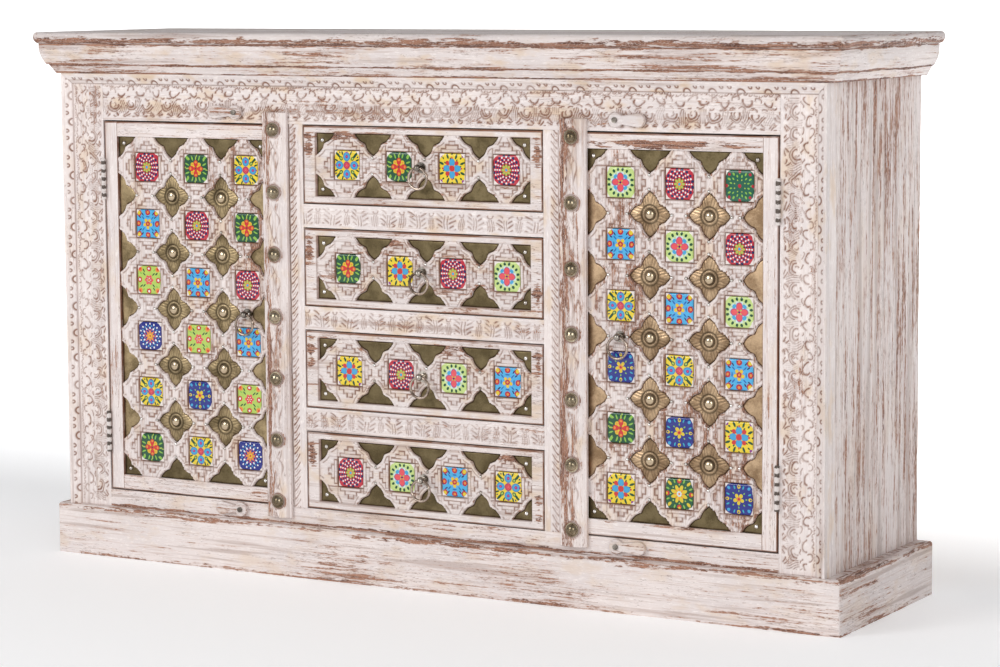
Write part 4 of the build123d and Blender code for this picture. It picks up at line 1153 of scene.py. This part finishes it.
def pressed_plate(lines_s, lines_t, whole):
    """x, z, height, groove and lightening of one plate, in millimetres, on a grid bent to its outline.

    A square of lines -1 to 1 becomes rings of the petal outline: the greater of |s| and |t| is the
    share of the way out, and their angle is kept. Half a square makes half a plate. The petals rise
    to a rounded ridge with veins beside it; a whole plate has a beaded collar and a spherical boss,
    whose middle is lightened: rubbed brass and a painted highlight.
    """
    s, t = np.meshgrid(lines_s, lines_t)
    share, angle = np.maximum(np.abs(s), np.abs(t)), np.arctan2(t, s)
    reach = petal_reach(angle)
    # the inner half of the grid of a whole plate is round, for the boss and its collar
    near, far = np.minimum(share / 0.5, 1), np.clip(share - 0.5, 0, 1) / 0.5
    r = near * COLLAR + far * (reach - COLLAR) if whole else share * reach
    rim = 0.9 * np.clip((share - 0.9) / 0.1, 0, 1)
    if not whole:
        return r * np.cos(angle), r * np.sin(angle), 2.3 - 0.5 * share ** 2, 0.7 * rim, 0 * rim
    fold = np.mod(angle + math.pi / 4, math.pi / 2) - math.pi / 4
    beside = np.abs(r * np.sin(fold))
    width = 18.0 * np.sqrt(np.clip(1 - (r * np.cos(fold) / 36.5) ** 2, 0.02, 1))
    swell = 2.4 * np.sqrt(np.clip(1 - (beside / width) ** 2, 0, 1))
    vein = bell(np.mod(beside - 0.28 * r, 4.6) - 2.3, 0.9) * (beside > 1.2) * (r > 15.5)
    height = 1.2 + swell - 0.7 * vein - 0.8 * rim
    groove = np.maximum(0.55 * vein, rim)
    dome = 2.6 + 5.2 * np.sqrt(np.clip(1 - (r / BOSS) ** 2, 0, 1))
    beads = 2.2 + (1.9 + 0.5 * np.cos(22 * angle)) * bell(r - 11.6, 1.7)
    height = np.where(r < BOSS, dome, np.where(r < 14.6, beads, height))
    # the middle of the boss and the beads are lightened: rubbed brass, and a painted highlight
    polish_and_highlight = np.where(r < 6.8, 1.0, 0.16 * bell(r - 11.8, 1.2))
    groove = np.maximum(groove, np.maximum(bell(r - 8.6, 2.2), bell(r - 14.6, 2.0)))
    return r * np.cos(angle), r * np.sin(angle), height, groove, polish_and_highlight


half_lines = np.concatenate([np.linspace(0, 0.5, 13), np.linspace(0.5625, 1, 8)])
edge_lines = np.linspace(0, 1, 11)
# in millimetres: how far inside the field a cut plate ends, and how far a nail stands from the
# middle of a plate, past a petal's tip and in the corner of the field
CUT_GAP, TIP_NAIL, CORNER_NAIL = 0.35, 39.0, 11.5
for body, (box, (_, _, plate_x, plate_z)) in fields.items():
    x0, x1, z0, z1 = box
    seat_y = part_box(f"{body}_brass_plates")[1].y
    sheets, level_sheets, tips, corners = [], [], [], []
    for cx in plate_x:
        for cz in plate_z:
            # the plate lies on the sides (-1, 1) of its middle that are inside the field
            ways_x = [way for way in (-1, 1) if x0 < cx + way < x1]
            ways_z = [way for way in (-1, 1) if z0 < cz + way < z1]
            whole = len(ways_x) + len(ways_z) == 4
            lines = half_lines if whole else edge_lines
            both = np.concatenate([-lines[:0:-1], lines])
            lines_s, lines_t = (both if len(ways) == 2 else np.sort(ways[0] * lines)
                                for ways in (ways_x, ways_z))
            px, pz, height, groove, polish_and_highlight = pressed_plate(lines_s, lines_t, whole)
            px = np.clip(cx + px, x0 + CUT_GAP, x1 - CUT_GAP)
            pz = np.clip(cz + pz, z0 + CUT_GAP, z1 - CUT_GAP)
            sheet = (relief_points(px, pz, seat_y, height), groove, polish_and_highlight)
            (sheets if len(ways_z) == 2 else level_sheets).append(sheet)
            if len(ways_x) + len(ways_z) == 2:
                corners.append((cx + CORNER_NAIL * ways_x[0], cz + CORNER_NAIL * ways_z[0]))
            else:
                tips += [(cx + TIP_NAIL * way, cz) for way in ways_x if len(ways_z) == 2]
                tips += [(cx, cz + TIP_NAIL * way) for way in ways_z if len(ways_x) == 2]
    plates = closed_relief(f"{body}_level_edge_plates", level_sheets, seat_y, body, dull_brass)
    if sheets:
        closed_relief(f"{body}_pressed_plates", sheets, seat_y, body,
                      golden_brass if body == "right_door" else olive_brass)
    nail_heads(f"{body}_tip_nails", body, tips, face_y + 0.002, radius=3.0, height=3.3)
    nail_heads(f"{body}_corner_nails", body, corners, seat_y - 0.0012, radius=4.3, height=3.9)
    if body.endswith("door"):
        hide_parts(f"{body}_brass_plates")
        dress(f"{body}_studs_and_post", stud_metal)
    else:
        dress(f"{body}_brass_plates", drawer_brass)
    dress(f"{body}_ring", ring_metal)


# ================================================================ door frames and battens
# Plain whitewashed stiles and rails round each lattice; a cover strip with a rounded bead, carved
# with twining lines and with a boss under each stud, closes the gap beside the drawers.

for side, name in ((-1, "left"), (1, "right")):
    low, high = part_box(f"{name}_door_frame")
    box = fields[f"{name}_door"][0]
    # the right door is rubbed bare in the middle of its rails
    rubbed = [((0.40, low.y, high.z - 0.016), (0.13, 0.02, 0.0085), 1.6),
              ((0.42, low.y, low.z + 0.034), (0.14, 0.02, 0.010), 1.6)]
    dress(f"{name}_door_frame", whitewash(
        f"{name}_door_frame_paint", "z", wear=0.37, stain=0.4, tone=1.0, shift=(0.4, 0, 0.9 - 0.5 * side),
        patches=rubbed if side > 0 else [],
        level=((box[0] + box[1]) / 2000, (box[1] - box[0]) / 2000),
        # the lines on the outer edges are painted shadow of the gap round the door, widest along the top;
        # those round the lattice are grime in the joints
        seams=[("X", low.x, 0.0014), ("X", high.x, 0.0014), ("Z", low.z, 0.0014), ("Z", high.z, 0.0021),
               ("X", box[0] / 1000, 0.0005), ("X", box[1] / 1000, 0.0005)]))


def batten_relief(x, z, stud_z):
    """Height in millimetres over the back of a batten at x from its middle, and depth of its cuts.

    A 6 mm board carries a bead 42 mm wide, 5 mm high, flat to a radius of 15 mm round each stud.
    Between studs two pairs of lines twine: each swings from one side of the bead to the other.
    A narrow ring round the foot of each stud is cut and darkened: painted shadow of the stud.
    """
    height = 6.0 + 5.0 * np.clip(1 - (x / 21.0) ** 2, 0, 1)
    offset, _ = nearest(z, stud_z)
    r = np.hypot(x, offset)
    flat = np.clip((17.5 - r) / 2.5, 0, 1)
    height = height * (1 - flat) + 11.0 * flat
    gap = stud_z[1] - stud_z[0]
    phase = offset / gap * 2 * math.pi
    wave = 9.5 * np.cos(phase) + 1.5 * np.sin(3 * phase)
    cut = np.maximum(bell(x - wave, 1.2), bell(x + wave, 1.2))
    inner = np.maximum(bell(x - 0.45 * wave - 6, 1.0), bell(x + 0.45 * wave + 6, 1.0))
    cut = np.maximum(cut, 0.8 * inner)
    cut = cut * np.clip((r - 18.0) / 3.0, 0, 1) * (0.6 + 0.4 * np.sin(0.09 * z + 0.3 * x))
    # a dark ring round the foot of each stud: painted shadow of the stud
    cut = np.maximum(cut, 1.05 * bell(r - 12.9, 1.6))
    return height - 1.3 * cut, cut


for side, name in ((-1, "left"), (1, "right")):
    low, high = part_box(f"{name}_door_batten")
    # the row of studs gives the places of the bosses
    studs_low, studs_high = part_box(f"{name}_door_studs_and_post")
    stud_radius = 0.0115
    stud_z = np.linspace(studs_low.z + stud_radius, studs_high.z - stud_radius, 7) * 1000
    middle = (low.x + high.x) / 2
    x, z = np.meshgrid(np.linspace(low.x, high.x, 41) * 1000, np.linspace(low.z, high.z, 470) * 1000)
    height, cut = batten_relief(x - 1000 * middle, z, stud_z)
    hollow, ridge = hollows_and_ridges(height, 4, 1.0)
    back_y = face_y - 0.0004
    paint = whitewash(f"{name}_batten_paint", "z", wear=0.34 if side < 0 else 0.44, stain=0.8, tone=1.0,
                      carved=True, shift=(0.1, 0, 0.5 - 0.3 * side),
                      edges=[("X", middle - 0.015, 0.009, 0.62)])
    sheet = (relief_points(x, z, back_y, height), 0.75 * cut + 0.4 * hollow, ridge)
    strip = closed_relief(f"{name}_carved_batten", [sheet], back_y, f"{name}_door", paint)
    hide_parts(f"{name}_door_batten")


# ================================================================ hinges, turn buttons and screws
# Steel hinges on which the case's paint has cracked off round each knuckle, in dark stripes at the
# knuckle pitch that are also painted shade in the gaps between knuckles, and wooden turn buttons,
# painted, on round-headed screws.

flaked_and_gap_shade, tree, shader = new_material("flaked_hinge_paint", 0.4)
place = object_place(tree)
knuckle_pitch = 0.014
# dark stripes at the knuckle pitch: flaked paint, and painted shade in the gaps between knuckles
knuckle_gap_shade_bands = maths(tree, "SINE", maths(tree, "MULTIPLY", split(tree, place)[2], 2 * math.pi / knuckle_pitch))
cracked = ramp(tree, total(tree, (knuckle_gap_shade_bands, 0.4), (noise(tree, place, 300.0, 4.0, 0.7), 1.4)), 0.72, 0.86)
tint = blend(tree, noise(tree, place, 500.0), (0.035, 0.030, 0.027, 1), (0.17, 0.125, 0.10, 1))
colour = blend(tree, cracked, (0.72, 0.66, 0.63, 1), tint)
finish_surface(tree, shader, colour, ramp(tree, cracked, 0, 1, 0.6, 0.4), cracked, -0.0003)
for node in ("frame_hinge_leaves", "left_door_hinge_leaves", "right_door_hinge_leaves"):
    dress(node, flaked_and_gap_shade)
dress("turn_button_screws", dark_metal)
button_paint = whitewash("turn_button_paint", "x", wear=0.49, stain=0.9, tone=0.93, shift=(0, 0.2, 0.7))
for corner in ("left_top", "left_bottom", "right_top", "right_bottom"):
    dress(f"turn_button_{corner}", button_paint)


# ================================================================ inside boards
# Planed softwood without paint: back, floor, partitions, shelves, drawer runners and drawer boxes.
# The grain is upright in the partitions, runs from front to back in the runners and the drawer
# boxes, and along the case in the others.

tree, given, result = new_group(
    "plain_board", [("Vector", "Grain", None)], [("Color", "Colour"), ("Float", "Height")])
rings = grain_noise(tree, given["Grain"], 60, 1.8, 5.0, 0.65)
pores = grain_noise(tree, given["Grain"], 500, 14)
dark = ramp(tree, total(tree, (rings, 0.7), (pores, 0.3)), 0.35, 0.65)
tree.links.new(blend(tree, dark, (0.42, 0.25, 0.14, 1), (0.24, 0.125, 0.065, 1)), result["Colour"])
tree.links.new(pores, result["Height"])
board_group = tree


def bare_board(name, grain):
    """Unpainted board with its grain along x, y or z."""
    made, tree, shader = new_material(name, 0.3)
    board = add_node(tree, "ShaderNodeGroup", {"node_tree": board_group},
                     Grain=along_grain(tree, object_place(tree), grain))
    finish_surface(tree, shader, board.outputs["Colour"], 0.7, board.outputs["Height"], 0.0004)
    return made


long_board, deep_board, tall_board = (bare_board(f"board_{grain}", grain) for grain in "xyz")
for node in ("back_panel", "bottom_board", "shelves"):
    dress(node, long_board)
dress("partitions", tall_board)
dress("drawer_runners", deep_board)
for drawer in drawer_names:
    dress(f"{drawer}_box", deep_board)
